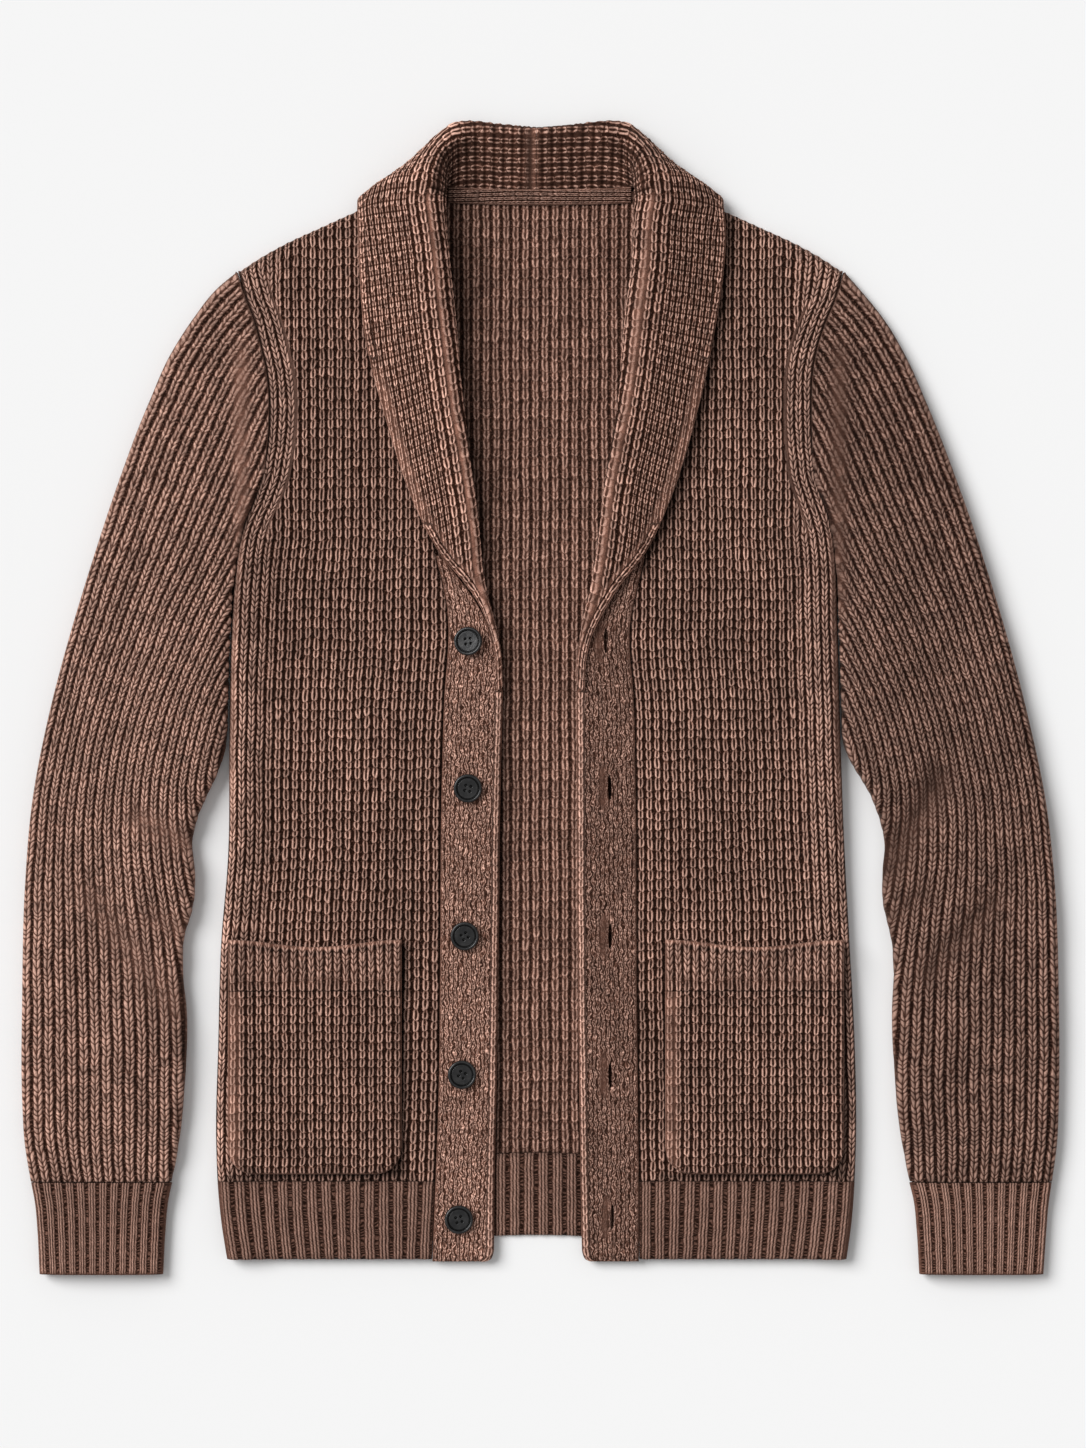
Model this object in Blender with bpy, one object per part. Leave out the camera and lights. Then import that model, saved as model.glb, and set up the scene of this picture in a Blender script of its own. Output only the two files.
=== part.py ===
"""A shawl collar cardigan in chunky half-cardigan knit, laid flat on its back.

Metres, +Z up off the surface it lies on, +Y towards the neck, +X towards the
wearer's left sleeve.  The origin is under the middle of the garment.  Tables
and sizes are in millimetres.  A side is -1 for the wearer's right, which holds
the buttons, and +1 for the wearer's left, which holds the buttonholes.
"""

import math

import bmesh
import bpy
import numpy as np

MM = 0.001
RIGHT = -1
LEFT = 1
SIDES = (RIGHT, LEFT)
SIDE_NAME = {RIGHT: "right", LEFT: "left"}

# Cloth walls and the gaps between them.
KNIT = 4.0
CUFF_KNIT = 3.6
TAPE_KNIT = 1.5
SEAM_GAP = 0.3
LAYER_GAP = 0.6
FALL_GAP = 0.8

# Heights of the layers off the surface.
BACK_TOP = KNIT
FRONT_LOW = BACK_TOP + LAYER_GAP
FRONT_TOP = FRONT_LOW + KNIT
FOLD_HEIGHT = 6.5
FOLD_LIP = 1.2
SIDE_FOLD = 7.0
SIDE_FALLOFF = 26.0
SIDE_RIDGE_LOW = 11.6
SIDE_RIDGE_HIGH = 14.6
SIDE_LIP_REACH = 5.6
SHOULDER_FOLD = 5.0
EDGE_THIN = 1.6
ARMHOLE_DROP = 0.6

# Lengths along the garment, from the middle of its length.
HEM_LOW = -381.0
HEM_SEAM = -328.0
SHOULDER_TIP = 289.0
NECK_POINT = 344.0
NECK_HALF = 73.0
BACK_NECK = 340.0
BACK_HEM_LIFT = 16.0
BACK_SEAM_LIFT = 19.0
UNDERARM = 107.0
SLEEVE_TOP = 282.5
CUFF_SEAM = -328.0
CUFF_LOW = -391.0
ARMHOLE_GAP = 0.85

# The collar's fall lies under the back of the neck and lifts what is over it.
NECK_LIFT = 4.6
NECK_LIFT_FROM = 268.0
NECK_LIFT_RAMP = 42.0
NECK_LIFT_CURVE = 14.0
NECK_LIFT_REACH = 120.0
NECK_LIFT_END = 114.0
NECK_LIFT_FADE = 22.0

# Pockets.
POCKET_LOW = -323.0
POCKET_CORNER = 18.0
POCKET_WALL = 3.6
POCKET_MOUTH = -164.0
POCKET_SAG = 5.0
RIM_LOW = -199.0
POCKET_OFF = 0.75
POCKET_EDGE = 1.2
POCKET_ROUND = 4.0
MOUTH_OPEN = 1.2
MOUTH_OPEN_REACH = 30.0
POCKET = {RIGHT: (94.0, 211.5), LEFT: (84.5, 205.5)}

# Buttons, one row for each, down the wearer's right band.
BUTTON_RADIUS = 9.75
BUTTON_RIM = 1.7
BUTTON_HEIGHT = 4.2
BUTTON_WELL = 2.9
BUTTON_BASE = 7.2
BUTTON_HOLE = 0.95
BUTTON_HOLE_PITCH = 1.75
BUTTON_SEAT = 0.3
SLIT_LENGTH = 17.0
SLIT_WIDTH = 2.6

# Front bands: how far they hang below the hem, where their cut upper end begins,
# and the rounding of the free edge.
BAND_DROP = 1.5
BAND_CUT_FROM = 4.0
BAND_EDGE_DROP = 2.2
BAND_EDGE_REACH = 3.5

# Neck tape.
TAPE_LOW = 333.5
TAPE_HIGH = 344.0
TAPE_HALF = 58.0
TAPE_END_RISE = 1.5


def table(names, *rows):
    """A short table as named columns."""
    data = np.array(rows, float)
    return {name: data[:, i] for i, name in enumerate(names.split())}


# Body's side edges and armholes: distance from the middle line at each height.
EDGE = table(
    "y       right    left",
    (-381,   212.5,   207.5),
    (-355,   216.5,   211.0),
    (-328,   219.0,   213.0),
    (-300,   220.0,   214.0),
    (-233,   218.5,   213.0),
    (-165,   216.5,   209.5),
    (-110,   212.0,   206.5),
    (-29,    211.0,   203.5),
    (46,     209.5,   201.5),
    (85,     207.0,   200.5),
    (107,    204.0,   199.0),
    (121,    200.0,   196.0),
    (134,    194.0,   191.5),
    (148,    189.0,   187.0),
    (168,    185.5,   184.5),
    (195,    183.5,   183.5),
    (222,    185.5,   184.5),
    (240,    189.5,   188.0),
    (257,    194.0,   194.0),
    (270,    199.0,   199.5),
    (289,    204.0,   204.0))

# Shoulder line: its height at each distance from the middle, under the collar from 120 in.
SHOULDER = table(
    "out    y",
    (73,    344.0),
    (92,    340.0),
    (110,   334.8),
    (127,   328.6),
    (150,   318.4),
    (174.5, 307.0),
    (194.5, 295.5),
    (204,   289.0))

# Rows of the body's panels, as heights of the side edge, and their columns, as
# fractions from the side edge in to the front's inner edge.
BODY_ROWS = (-328, -270, -205, -140, -80, -20, 35, 55, 75, 107, 120, 134, 150, 175,
             205, 228, 244, 258, 270, 277, 282.5, 289)
HEM_ROWS = (-381, -363, -346, -328)
COLUMNS = (0, 0.008, 0.026, 0.055, 0.16, 0.32, 0.52, 0.7, 0.86, 1)
MIDDLE_COLUMNS = (0.25, 0.5, 0.75)
SHOULDER_FROM = 0.88
BAND_ROWS = (HEM_LOW - BAND_DROP, -328, -250, -170, -90, -20, 3, 5, 14, 26, 39, 53, 67.4,
             89.1, 96)
BAND_COLUMNS = (0, 0.08, 0.4, 0.75, 1)
POCKET_COLUMNS = (0, 0.012, 0.035, 0.1, 0.28, 0.5, 0.72, 0.9, 0.965, 0.988, 1)

# Front bands: the outer seam that joins the front, and the free edge.
BAND = table(
    "y       right_seam  right_free  left_seam  left_free",
    (-381,   73.5,       31.6,       67.0,      28.2),
    (-328,   71.5,       31.2,       67.0,      27.2),
    (-273,   69.5,       30.0,       66.5,      26.4),
    (-178,   68.3,       28.6,       65.5,      25.3),
    (-70,    67.5,       27.3,       65.0,      24.8),
    (-2,     65.6,       25.6,       63.6,      24.6),
    (53,     63.0,       24.6,       61.5,      24.4),
    (66,     64.3,       24.6,       64.0,      24.4),
    (80,     67.2,       24.6,       67.2,      24.4),
    (93,     70.6,       24.6,       70.6,      24.4),
    (107,    73.0,       24.6,       73.0,      24.4),
    (344,    73.0,       24.6,       73.0,      24.4))

# Where the collar's stand begins, up the cut end of the band and then the front's
# inner edge, and where the band is cut beside it.
FOOT = table(
    "y      out    cut",
    (5,     26.2,  27.4),
    (14,    26.6,  27.8),
    (26,    27.8,  29.6),
    (39,    30.2,  32.8),
    (53,    34.6,  37.6),
    (66,    41.4,  44.8),
    (80,    51.5,  55.0),
    (90,    59.5,  62.8),
    (98,    65.0,  68.2),
    (110,   68.8,  71.4),
    (140,   70.0,  72.6),
    (351,   70.4,  73.0))

# The roll's inner side and the fall's free edge on the fronts, at each height.
COLLAR_LINES = table(
    "y      roll_right  roll_left  edge_right  edge_left",
    (-2,    25.2,       24.1,      29.2,       29.4),
    (12,    25.5,       24.1,      29.4,       30.0),
    (26,    26.4,       24.8,      29.9,       31.0),
    (39,    28.2,       26.2,      32.3,       33.9),
    (53,    31.4,       28.9,      36.6,       39.3),
    (66,    35.2,       32.3,      42.8,       47.6),
    (80,    38.4,       35.4,      53.0,       56.6),
    (93,    40.6,       37.4,      64.6,       67.6),
    (107,   41.3,       39.6,      74.3,       77.0),
    (120,   42.4,       41.8,      80.6,       82.2),
    (148,   45.4,       43.8,      91.5,       92.8),
    (175,   49.6,       48.8,      100.4,      101.0),
    (202,   52.7,       52.7,      108.3,      107.2),
    (230,   54.9,       54.2,      115.0,      113.0),
    (257,   57.4,       56.9,      120.0,      119.2),
    (284,   59.4,       60.0,      121.5,      123.0),
    (311,   62.6,       62.6,      122.6,      124.4),
    (340,   65.0,       63.6,      122.8,      124.6))

# Rows of the collar on the fronts, from the tip up to the shoulder: heights of the
# roll and of the free edge, of the crest off the surface, and the wall there.
COLLAR_ROWS = table(
    "roll  edge  crest  wall",
    (8,    4,    10.6,  1.6),
    (34,   29,   11.4,  1.8),
    (49,   42,   12.4,  2.4),
    (68,   61,   13.6,  3.4),
    (86,   77,   14.4,  4.0),
    (106,  93,   15.0,  4.0),
    (148,  129,  16.8,  4.0),
    (199,  178,  20.0,  4.0),
    (263,  250,  24.5,  4.0),
    (300,  292,  28.5,  4.0),
    (326,  319,  30.5,  4.0))

# Collar round the shoulder and the back: the middle of its wall at the foot, up
# the stand, at the crest, round the fold, under it and at the free edge.
COLLAR_BACK = table(
    "foot_x foot_y foot_z  up_x up_y up_z  crest_x crest_y crest_z"
    "  fold_x fold_y fold_z  under_x under_y under_z  edge_x edge_y edge_z",
    (69.8, 334.5, 10.8,  65.9, 337, 19.5,  76, 338.5, 28.3,
     95, 338, 23.5,  111.5, 335.5, 17.5,  123, 331, 12.4),
    (68.8, 339.5, 10.2,  65.4, 344, 19,  75, 349, 27,
     95, 350.5, 20.5,  109.5, 346, 13.5,  121.5, 337.8, 7.5),
    (67.8, 343.5, 9.8,  65.2, 350, 17.5,  73, 358.5, 25,
     93, 357, 13.5,  105, 349.5, 5.5,  112, 341.8, 2.2),
    (66.6, 346.3, 8.8,  64.6, 355, 16,  70, 366, 22.5,
     86.5, 363.5, 10,  93, 353, 2.6,  98, 334, 2),
    (63.8, 347, 8,  62.6, 359, 14.4,  65, 373, 20,
     76.8, 373, 9.2,  80, 364, 2.5,  84, 327, 2),
    (57.5, 345.2, 7.2,  57.5, 361, 12,  58.5, 378, 16.4,
     62, 386, 8.6,  64, 377.5, 2.4,  66, 321.5, 2),
    (47, 343.1, 6.9,  47.2, 362, 10.4,  47.6, 380.5, 13.8,
     48.6, 389, 7.8,  47.6, 380.5, 2.4,  45, 318, 2),
    (25, 341.5, 6.7,  25.5, 361, 9,  25.8, 380, 11.2,
     26, 387.2, 6.8,  26, 379.5, 2.4,  25, 316.5, 2),
    (0.5, 341, 6.7,  0.5, 361, 8.6,  0.5, 379, 10.6,
     0.5, 385.3, 6.5,  0.5, 378.5, 2.4,  0.5, 316, 2))
COLLAR_CENTRE = -2.7

# Sleeves: distance of the outer and the inner fold from the middle line.
SLEEVE_OUTER = table(
    "y       right   left",
    (289,    204.6,  204.6),
    (279,    216.6,  213.5),
    (257,    234.5,  231.5),
    (230,    251.5,  247.5),
    (202,    264.0,  260.0),
    (148,    285.0,  281.5),
    (93,     303.5,  300.5),
    (39,     320.0,  317.0),
    (-15,    334.0,  331.0),
    (-70,    344.5,  342.5),
    (-124,   349.3,  348.5),
    (-206,   351.5,  351.5),
    (-274,   351.5,  351.5),
    (-301,   350.0,  350.5),
    (-328,   345.8,  347.0),
    (-342,   343.2,  345.0),
    (-362,   341.4,  343.3),
    (-391,   340.0,  341.3))
SLEEVE_INNER = table(
    "y       right   left",
    (107,    204.6,  199.6),
    (85,     207.6,  201.1),
    (46,     210.1,  202.1),
    (-10,    211.6,  203.6),
    (-34,    213.0,  205.5),
    (-49,    217.5,  213.0),
    (-63,    224.0,  221.5),
    (-83,    232.5,  229.5),
    (-97,    235.5,  232.7),
    (-117,   234.0,  231.5),
    (-138,   234.5,  231.7),
    (-165,   241.5,  237.5),
    (-185,   242.0,  239.0),
    (-212,   239.5,  238.0),
    (-246,   239.5,  239.0),
    (-274,   241.7,  241.0),
    (-301,   244.7,  244.7),
    (-328,   249.7,  250.0),
    (-342,   252.6,  253.3),
    (-362,   254.5,  255.3),
    (-391,   256.0,  257.0))

# Sleeve's fullness along its length, from the armhole (0) to the cuff seam (1).
FULLNESS = table(
    "along  top    fold",
    (0.00,  9.4,   5.0),
    (0.08,  13.0,  6.0),
    (0.25,  18.0,  7.5),
    (0.50,  19.0,  7.8),
    (0.75,  18.0,  7.4),
    (0.92,  16.2,  6.8),
    (1.00,  14.0,  6.0))
CUFF_TOP = 12.4
CUFF_FOLD = 5.2
FOLD_THINNING = 2.2
FOLD_THIN_REACH = 14.0
UPPER_ROUND = 3.0
LOWER_ROUND = 8.0

# How a sleeve's upper sheet stands off the body: gaps kept where the fold stands
# beside the body's side, and the share of its length over which its bow fades.
FOLD_CLEARANCE = 1.8
OUTER_CLEARANCE = 1.0
BOW_FADE = 0.4
BOW_END = 0.03

# Largest creases of the sleeves: a soft trough (depth above 0) or ridge from one
# point to the other, for the side it is on.
CREASE = table(
    "side  x1    y1    x2    y2    width  depth",
    (-1,   272,  -82,  236,  -101, 9,     4.0),
    (-1,   330,  -138, 262,  -196, 10,    2.6),
    (-1,   262,  -150, 243,  -158, 8,     3.0),
    (1,    268,  -57,  232,  -120, 11,    4.5),
    (1,    262,  -128, 237,  -150, 9,     3.0),
    (1,    330,  -120, 276,  -176, 12,    2.2))

# Buttons and buttonholes, from the neck down.
BUTTONS = table(
    "x      y        tilt_x  tilt_y  turn",
    (-48.6, 38.0,    -3.0,   -9.0,   8),
    (-49.3, -61.5,   1.5,    2.0,    -12),
    (-51.3, -161.5,  2.0,    -2.0,   30),
    (-53.3, -255.5,  -1.5,   1.5,    -25),
    (-55.4, -353.5,  1.5,    2.5,    15))
BUTTONHOLES = table(
    "x     y       lean",
    (44.2, 38.5,   0),
    (46.9, -61.0,  1.5),
    (47.3, -162.0, -1),
    (47.3, -256.0, 1),
    (48.7, -352.5, -2))

# Linear colours of the materials.
COLOURS = {
    "wool_body": (0.150, 0.082, 0.058),
    "wool_sleeve": (0.150, 0.082, 0.058),
    "wool_rib": (0.138, 0.074, 0.052),
    "wool_collar": (0.158, 0.087, 0.062),
    "wool_band": (0.165, 0.092, 0.066),
    "wool_pocket": (0.146, 0.079, 0.056),
    "neck_tape": (0.120, 0.064, 0.046),
    "button_horn": (0.020, 0.021, 0.022)}


def curve(keys, values):
    """A smooth curve through the rows, read anywhere between them.

    Cubic pieces, each ending in the mean slope of its neighbours.
    """
    order = np.argsort(keys)
    keys = np.asarray(keys, float)[order]
    values = np.asarray(values, float)[order]
    slopes = np.gradient(values, keys)

    def read(at):
        at = np.clip(np.asarray(at, float), keys[0], keys[-1])
        i = np.clip(np.searchsorted(keys, at, side="right") - 1, 0, len(keys) - 2)
        width = keys[i + 1] - keys[i]
        t = (at - keys[i]) / width
        return ((2 * t**3 - 3 * t**2 + 1) * values[i] + (3 * t**2 - 2 * t**3) * values[i + 1]
                + ((t**3 - 2 * t**2 + t) * slopes[i] + (t**3 - t**2) * slopes[i + 1]) * width)

    return read


def by_side(rows, prefix="", suffix=""):
    """One curve against y for each side, from its two columns of a table."""
    return {side: curve(rows["y"], rows[prefix + SIDE_NAME[side] + suffix]) for side in SIDES}


edge = by_side(EDGE)
band_seam = by_side(BAND, suffix="_seam")
band_free = by_side(BAND, suffix="_free")
outer_fold = by_side(SLEEVE_OUTER)
inner_fold = by_side(SLEEVE_INNER)
roll_line = by_side(COLLAR_LINES, prefix="roll_")
edge_line = by_side(COLLAR_LINES, prefix="edge_")
collar_foot = curve(FOOT["y"], FOOT["out"])
band_cut = curve(FOOT["y"], FOOT["cut"])
shoulder_line = curve(SHOULDER["out"], SHOULDER["y"])
sleeve_top = curve(FULLNESS["along"], FULLNESS["top"])
sleeve_fold = curve(FULLNESS["along"], FULLNESS["fold"])


def smooth(t):
    """0 below 0, 1 above 1, and an S between."""
    t = np.clip(t, 0, 1)
    return t * t * (3 - 2 * t)


def mix(a, b, t):
    return a + (b - a) * t


def quarter(t):
    """A quarter circle, from 0 at 0 up to 1 at 1 and beyond."""
    return np.sqrt(1 - (1 - np.clip(t, 0, 1)) ** 2)


def crowded(count, power=1.0):
    """Numbers from 0 to 1 that crowd together at both ends."""
    t = np.linspace(0, 1, count)
    return mix(t, (1 - np.cos(np.pi * t)) / 2, power)


# --- heights of the body's layers -----------------------------------------

def neck_lift(x, y):
    """How far the fall of the collar underneath lifts the layers at the neck."""
    start = NECK_LIFT_FROM + NECK_LIFT_CURVE * (x / NECK_LIFT_REACH) ** 2
    fade = 1 - smooth((np.abs(x) - NECK_LIFT_END) / NECK_LIFT_FADE)
    return NECK_LIFT * fade * smooth((y - start) / NECK_LIFT_RAMP)


def inward(x, y):
    """Distance in from the body's side edge."""
    return np.where(x < 0, edge[RIGHT](y), edge[LEFT](y)) - np.abs(x)


def side_ridge(y):
    """Crest of the rounded side fold: high beside the sleeve, lower at the hem."""
    below = mix(SIDE_RIDGE_LOW, SIDE_RIDGE_HIGH, smooth((y + 170) / 110))
    return mix(below, FRONT_TOP + 0.4, smooth((y - 95) / 35))


def side_open(y):
    """1 where the side is a closed fold, 0 where it is the armhole's seam."""
    return 1 - smooth((y - 100) / 22)


def front_top(x, y):
    """Upper face of a front: flat, with a rounded ridge along the side fold."""
    away = inward(x, y)
    lift = neck_lift(x, y)
    ridge = mix(side_ridge(y), FRONT_TOP, smooth((away - SIDE_FOLD) / SIDE_FALLOFF))
    start = mix(FRONT_TOP - ARMHOLE_DROP, FOLD_HEIGHT + FOLD_LIP, side_open(y))
    body = mix(start, ridge, quarter(away / SIDE_FOLD))
    seam = BACK_TOP + LAYER_GAP / 2 + EDGE_THIN
    below = np.maximum(shoulder_line(np.abs(x)) - y, 0)
    return mix(seam, body, quarter(below / SHOULDER_FOLD)) + lift


def front_low(x, y):
    """Under face of a front: one wall below its upper face, clear of the back."""
    return np.maximum(front_top(x, y) - KNIT, back_top(x, y) + LAYER_GAP / 2)


def back_low(x, y):
    """Under face of the back: on the surface, turned up at the side folds."""
    up = (FOLD_HEIGHT - FOLD_LIP) * side_open(y) * (1 - quarter(inward(x, y) / SIDE_FOLD))
    return up + neck_lift(x, y)


def back_top(x, y):
    """Upper face of the back, with a lip that rises to the side seam."""
    lip = (FOLD_HEIGHT - BACK_TOP) * side_open(y) * (1 - smooth(inward(x, y) / SIDE_LIP_REACH))
    return BACK_TOP + lip + neck_lift(x, y)


# --- meshes ------------------------------------------------------------------

def material(name):
    found = bpy.data.materials.get(name)
    if found:
        return found
    made = bpy.data.materials.new(name)
    made.use_nodes = True
    shader = made.node_tree.nodes["Principled BSDF"]
    shader.inputs["Base Color"].default_value = (*COLOURS[name], 1)
    shader.inputs["Roughness"].default_value = 0.35 if name == "button_horn" else 0.9
    shader.inputs["Metallic"].default_value = 0
    return made


def add_mesh(name, points, faces, finish):
    """An object from points in millimetres and faces that point outwards."""
    mesh = bpy.data.meshes.new(name)
    mesh.from_pydata(np.asarray(points) * MM, [], faces)
    mesh.materials.append(material(finish))
    mesh.shade_smooth()
    mesh.set_sharp_from_angle(angle=math.radians(50))
    made = bpy.data.objects.new(name, mesh)
    bpy.context.scene.collection.objects.link(made)
    return made


def grid_faces(points, start, flip=False, closed=False):
    """Triangles of a grid of points numbered from start, row by row.

    Each cell is split along its shorter diagonal, so that grids which share
    their plan points lie clear of each other everywhere.
    """
    rows, columns = points.shape[:2]
    faces = []
    for i in range(rows - 1):
        for j in range(columns if closed else columns - 1):
            k = (j + 1) % columns
            a, b = start + i * columns + j, start + i * columns + k
            c, d = b + columns, a + columns
            rising = np.linalg.norm(points[i + 1, k] - points[i, j])
            falling = np.linalg.norm(points[i + 1, j] - points[i, k])
            if rising < falling:
                cell = [(a, b, c), (a, c, d)]
            else:
                cell = [(a, b, d), (b, c, d)]
            faces += [corners[::-1] if flip else corners for corners in cell]
    return faces


def rim_faces(loop, offset, flip=False):
    """Quads that join a closed loop on one face to the same loop on the other."""
    faces = []
    for a, b in zip(loop, loop[1:] + loop[:1]):
        quad = (a, a + offset, b + offset, b)
        faces.append(quad[::-1] if flip else quad)
    return faces


def slab(name, x, y, low, high, finish):
    """A closed wall between two heights over one grid of plan points."""
    rows, columns = x.shape
    upper = np.stack([x, y, high], axis=-1).reshape(-1, 3)
    lower = np.stack([x, y, low], axis=-1).reshape(-1, 3)
    count = rows * columns
    turned = plan_turn(x, y) < 0
    plan = np.stack([x, y], axis=-1)
    faces = grid_faces(plan, 0, flip=turned)
    faces += grid_faces(plan, count, flip=not turned)
    loop = [j for j in range(columns)]
    loop += [i * columns + columns - 1 for i in range(1, rows)]
    loop += [(rows - 1) * columns + j for j in range(columns - 2, -1, -1)]
    loop += [i * columns for i in range(rows - 2, 0, -1)]
    faces += rim_faces(loop, count, flip=turned)
    return add_mesh(name, np.vstack([upper, lower]), faces, finish)


def plan_turn(x, y):
    """Positive where columns and then rows turn anticlockwise seen from above."""
    along = np.array([x[0, -1] - x[0, 0], y[0, -1] - y[0, 0]])
    across = np.array([x[-1, 0] - x[0, 0], y[-1, 0] - y[0, 0]])
    return along[0] * across[1] - along[1] * across[0]


def grid_normals(middle, closed):
    """Unit normals of a grid surface of shape rows, columns, 3."""
    along = np.gradient(middle, axis=0)
    if closed:
        across = np.roll(middle, -1, axis=1) - np.roll(middle, 1, axis=1)
    else:
        across = np.gradient(middle, axis=1)
    normals = np.cross(across, along)
    return normals / np.linalg.norm(normals, axis=-1, keepdims=True)


def shell(name, middle, wall, finish, closed=False, outwards=1, thinned=0.0):
    """A closed wall centred on a middle surface, half its thickness each way.

    thinned is how much its inner face is cut back, so that it stays clear of
    itself inside a tight fold.
    """
    rows, columns = middle.shape[:2]
    wall = np.broadcast_to(np.asarray(wall, float), (rows, columns))
    normals = outwards * grid_normals(middle, closed)
    outer = middle + normals * wall[..., None] / 2
    inner = middle - normals * (wall / 2 - thinned)[..., None]
    count = rows * columns
    flip = outwards < 0
    faces = grid_faces(middle, 0, flip=flip, closed=closed)
    faces += grid_faces(middle, count, flip=not flip, closed=closed)
    if closed:
        first = list(range(columns))
        last = [(rows - 1) * columns + j for j in range(columns)]
        faces += rim_faces(first, count, flip=flip)
        faces += rim_faces(last, count, flip=not flip)
    else:
        loop = [j for j in range(columns)]
        loop += [i * columns + columns - 1 for i in range(1, rows)]
        loop += [(rows - 1) * columns + j for j in range(columns - 2, -1, -1)]
        loop += [i * columns for i in range(rows - 2, 0, -1)]
        faces += rim_faces(loop, count, flip=flip)
    points = np.vstack([outer.reshape(-1, 3), inner.reshape(-1, 3)])
    return add_mesh(name, points, faces, finish)


# --- body --------------------------------------------------------------------

def half_grid(side, rows):
    """Plan grid of one half, from the side edge in to the front's inner edge.

    rows are heights of the side edge; each row runs straight across to the
    height on the inner edge that shares its place between the hem and the neck.
    """
    y_side = np.array(rows, float)[:, None]
    y_side = np.where(y_side == HEM_SEAM, HEM_SEAM + SEAM_GAP / 2, y_side)
    across = np.array(COLUMNS)[None, :]
    place = (y_side - HEM_SEAM) / (SHOULDER_TIP - HEM_SEAM)
    y_seam = np.where(y_side > HEM_SEAM, mix(HEM_SEAM, NECK_POINT, place), y_side)
    y = mix(y_side, y_seam, across)
    out = mix(edge[side](y_side), band_seam[side](y_seam) + SEAM_GAP / 2, across)
    y = y + shoulder_bend(place) * (shoulder_line(out) - mix(SHOULDER_TIP, NECK_POINT, across))
    return side * out, y


def shoulder_bend(place):
    """0 on the body's lower rows, rising to 1 on the shoulder line."""
    return smooth((place - SHOULDER_FROM) / (1 - SHOULDER_FROM))


def make_front(side):
    """A front panel, from the hem's seam to the shoulder."""
    x, y = half_grid(side, BODY_ROWS)
    slab("front_" + SIDE_NAME[side], x, y, front_low(x, y), front_top(x, y), "wool_body")


def hem_grid(side):
    """Plan grid of one half of the hem, a little below the seam."""
    x, y = half_grid(side, HEM_ROWS)
    return x, np.where(y > HEM_SEAM - 1, HEM_SEAM - SEAM_GAP / 2, y)


def make_front_hem(side):
    """The 2x2 rib along the bottom of a front."""
    x, y = hem_grid(side)
    slab("hem_rib_" + SIDE_NAME[side], x, y, front_low(x, y), front_top(x, y), "wool_rib")


def joined_halves(right, left, lift):
    """One grid from side to side, its middle rows raised by lift."""
    share = np.array([MIDDLE_COLUMNS])
    x, y = (np.concatenate([r, mix(r[:, -1:], l[:, -1:], share), l[:, ::-1]], axis=1)
            for r, l in zip(right, left))
    place = (x - x[:, :1]) / (x[:, -1:] - x[:, :1])
    return x, y + lift * (0.5 - 0.5 * np.cos(2 * np.pi * place))


def make_back():
    """The back panel, up to the shoulders and the shallow back neck."""
    halves = [half_grid(side, BODY_ROWS) for side in SIDES]
    place = (np.array(BODY_ROWS)[:, None] - HEM_SEAM) / (SHOULDER_TIP - HEM_SEAM)
    x, y = joined_halves(*halves, BACK_SEAM_LIFT * (1 - smooth(place / 0.5)))
    dip = (NECK_POINT - BACK_NECK) * (1 - np.clip(np.abs(x) / NECK_HALF, 0, 1) ** 2)
    y = y - dip * shoulder_bend(place)
    slab("back", x, y, back_low(x, y), back_top(x, y), "wool_body")


def make_back_hem():
    """The 2x2 rib along the bottom of the back, a little higher in the middle."""
    place = (np.array(HEM_ROWS)[:, None] - HEM_LOW) / (HEM_SEAM - HEM_LOW)
    lift = mix(BACK_HEM_LIFT, BACK_SEAM_LIFT, place)
    x, y = joined_halves(hem_grid(RIGHT), hem_grid(LEFT), lift)
    slab("hem_rib_back", x, y, back_low(x, y), back_top(x, y), "wool_rib")


# --- bands, buttons and buttonholes -------------------------------------------

def make_band(side, name):
    """A front band, flat from the hem up, its end cut slanting under the collar."""
    rows = np.array(BAND_ROWS)[:, None]
    seam = band_seam[side](rows) - SEAM_GAP
    free = np.where(rows < BAND_CUT_FROM, band_free[side](rows), band_cut(rows))
    out = mix(free, seam, np.array([BAND_COLUMNS]))
    y = np.broadcast_to(rows, out.shape)
    round_off = mix(FRONT_TOP - BAND_EDGE_DROP, FRONT_TOP, quarter((out - free) / BAND_EDGE_REACH))
    top = np.where(y < BAND_CUT_FROM, round_off, FRONT_TOP)
    low = np.full_like(out, FRONT_LOW)
    return slab(name, side * out, y, low, top, "wool_band")


def lens_points(length, width, count):
    """Outline of a slit: a narrow ellipse, one point each step of angle."""
    angle = np.linspace(0, 2 * np.pi, count, endpoint=False)
    return 0.5 * width * np.cos(angle), 0.5 * length * np.sin(angle)


def slit_cutter():
    """A cutter with one narrow lens for each buttonhole."""
    cutter = bmesh.new()
    for x, y, lean in zip(*BUTTONHOLES.values()):
        dx, dy = lens_points(SLIT_LENGTH, SLIT_WIDTH, 12)
        turn = math.radians(lean)
        px = x + dx * math.cos(turn) - dy * math.sin(turn)
        py = y + dx * math.sin(turn) + dy * math.cos(turn)
        lower = [cutter.verts.new((a * MM, b * MM, 2 * MM)) for a, b in zip(px, py)]
        upper = [cutter.verts.new((a * MM, b * MM, 12 * MM)) for a, b in zip(px, py)]
        cutter.faces.new(lower[::-1])
        cutter.faces.new(upper)
        for i in range(12):
            j = (i + 1) % 12
            cutter.faces.new((lower[i], lower[j], upper[j], upper[i]))
    return hidden_cutter("buttonhole_cutter", cutter)


def hidden_cutter(name, shape):
    """An object from a bmesh that only cuts others and isn't part of the model."""
    mesh = bpy.data.meshes.new(name)
    shape.to_mesh(mesh)
    shape.free()
    made = bpy.data.objects.new(name, mesh)
    bpy.context.scene.collection.objects.link(made)
    made.hide_render = True
    made.display_type = "WIRE"
    return made


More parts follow.
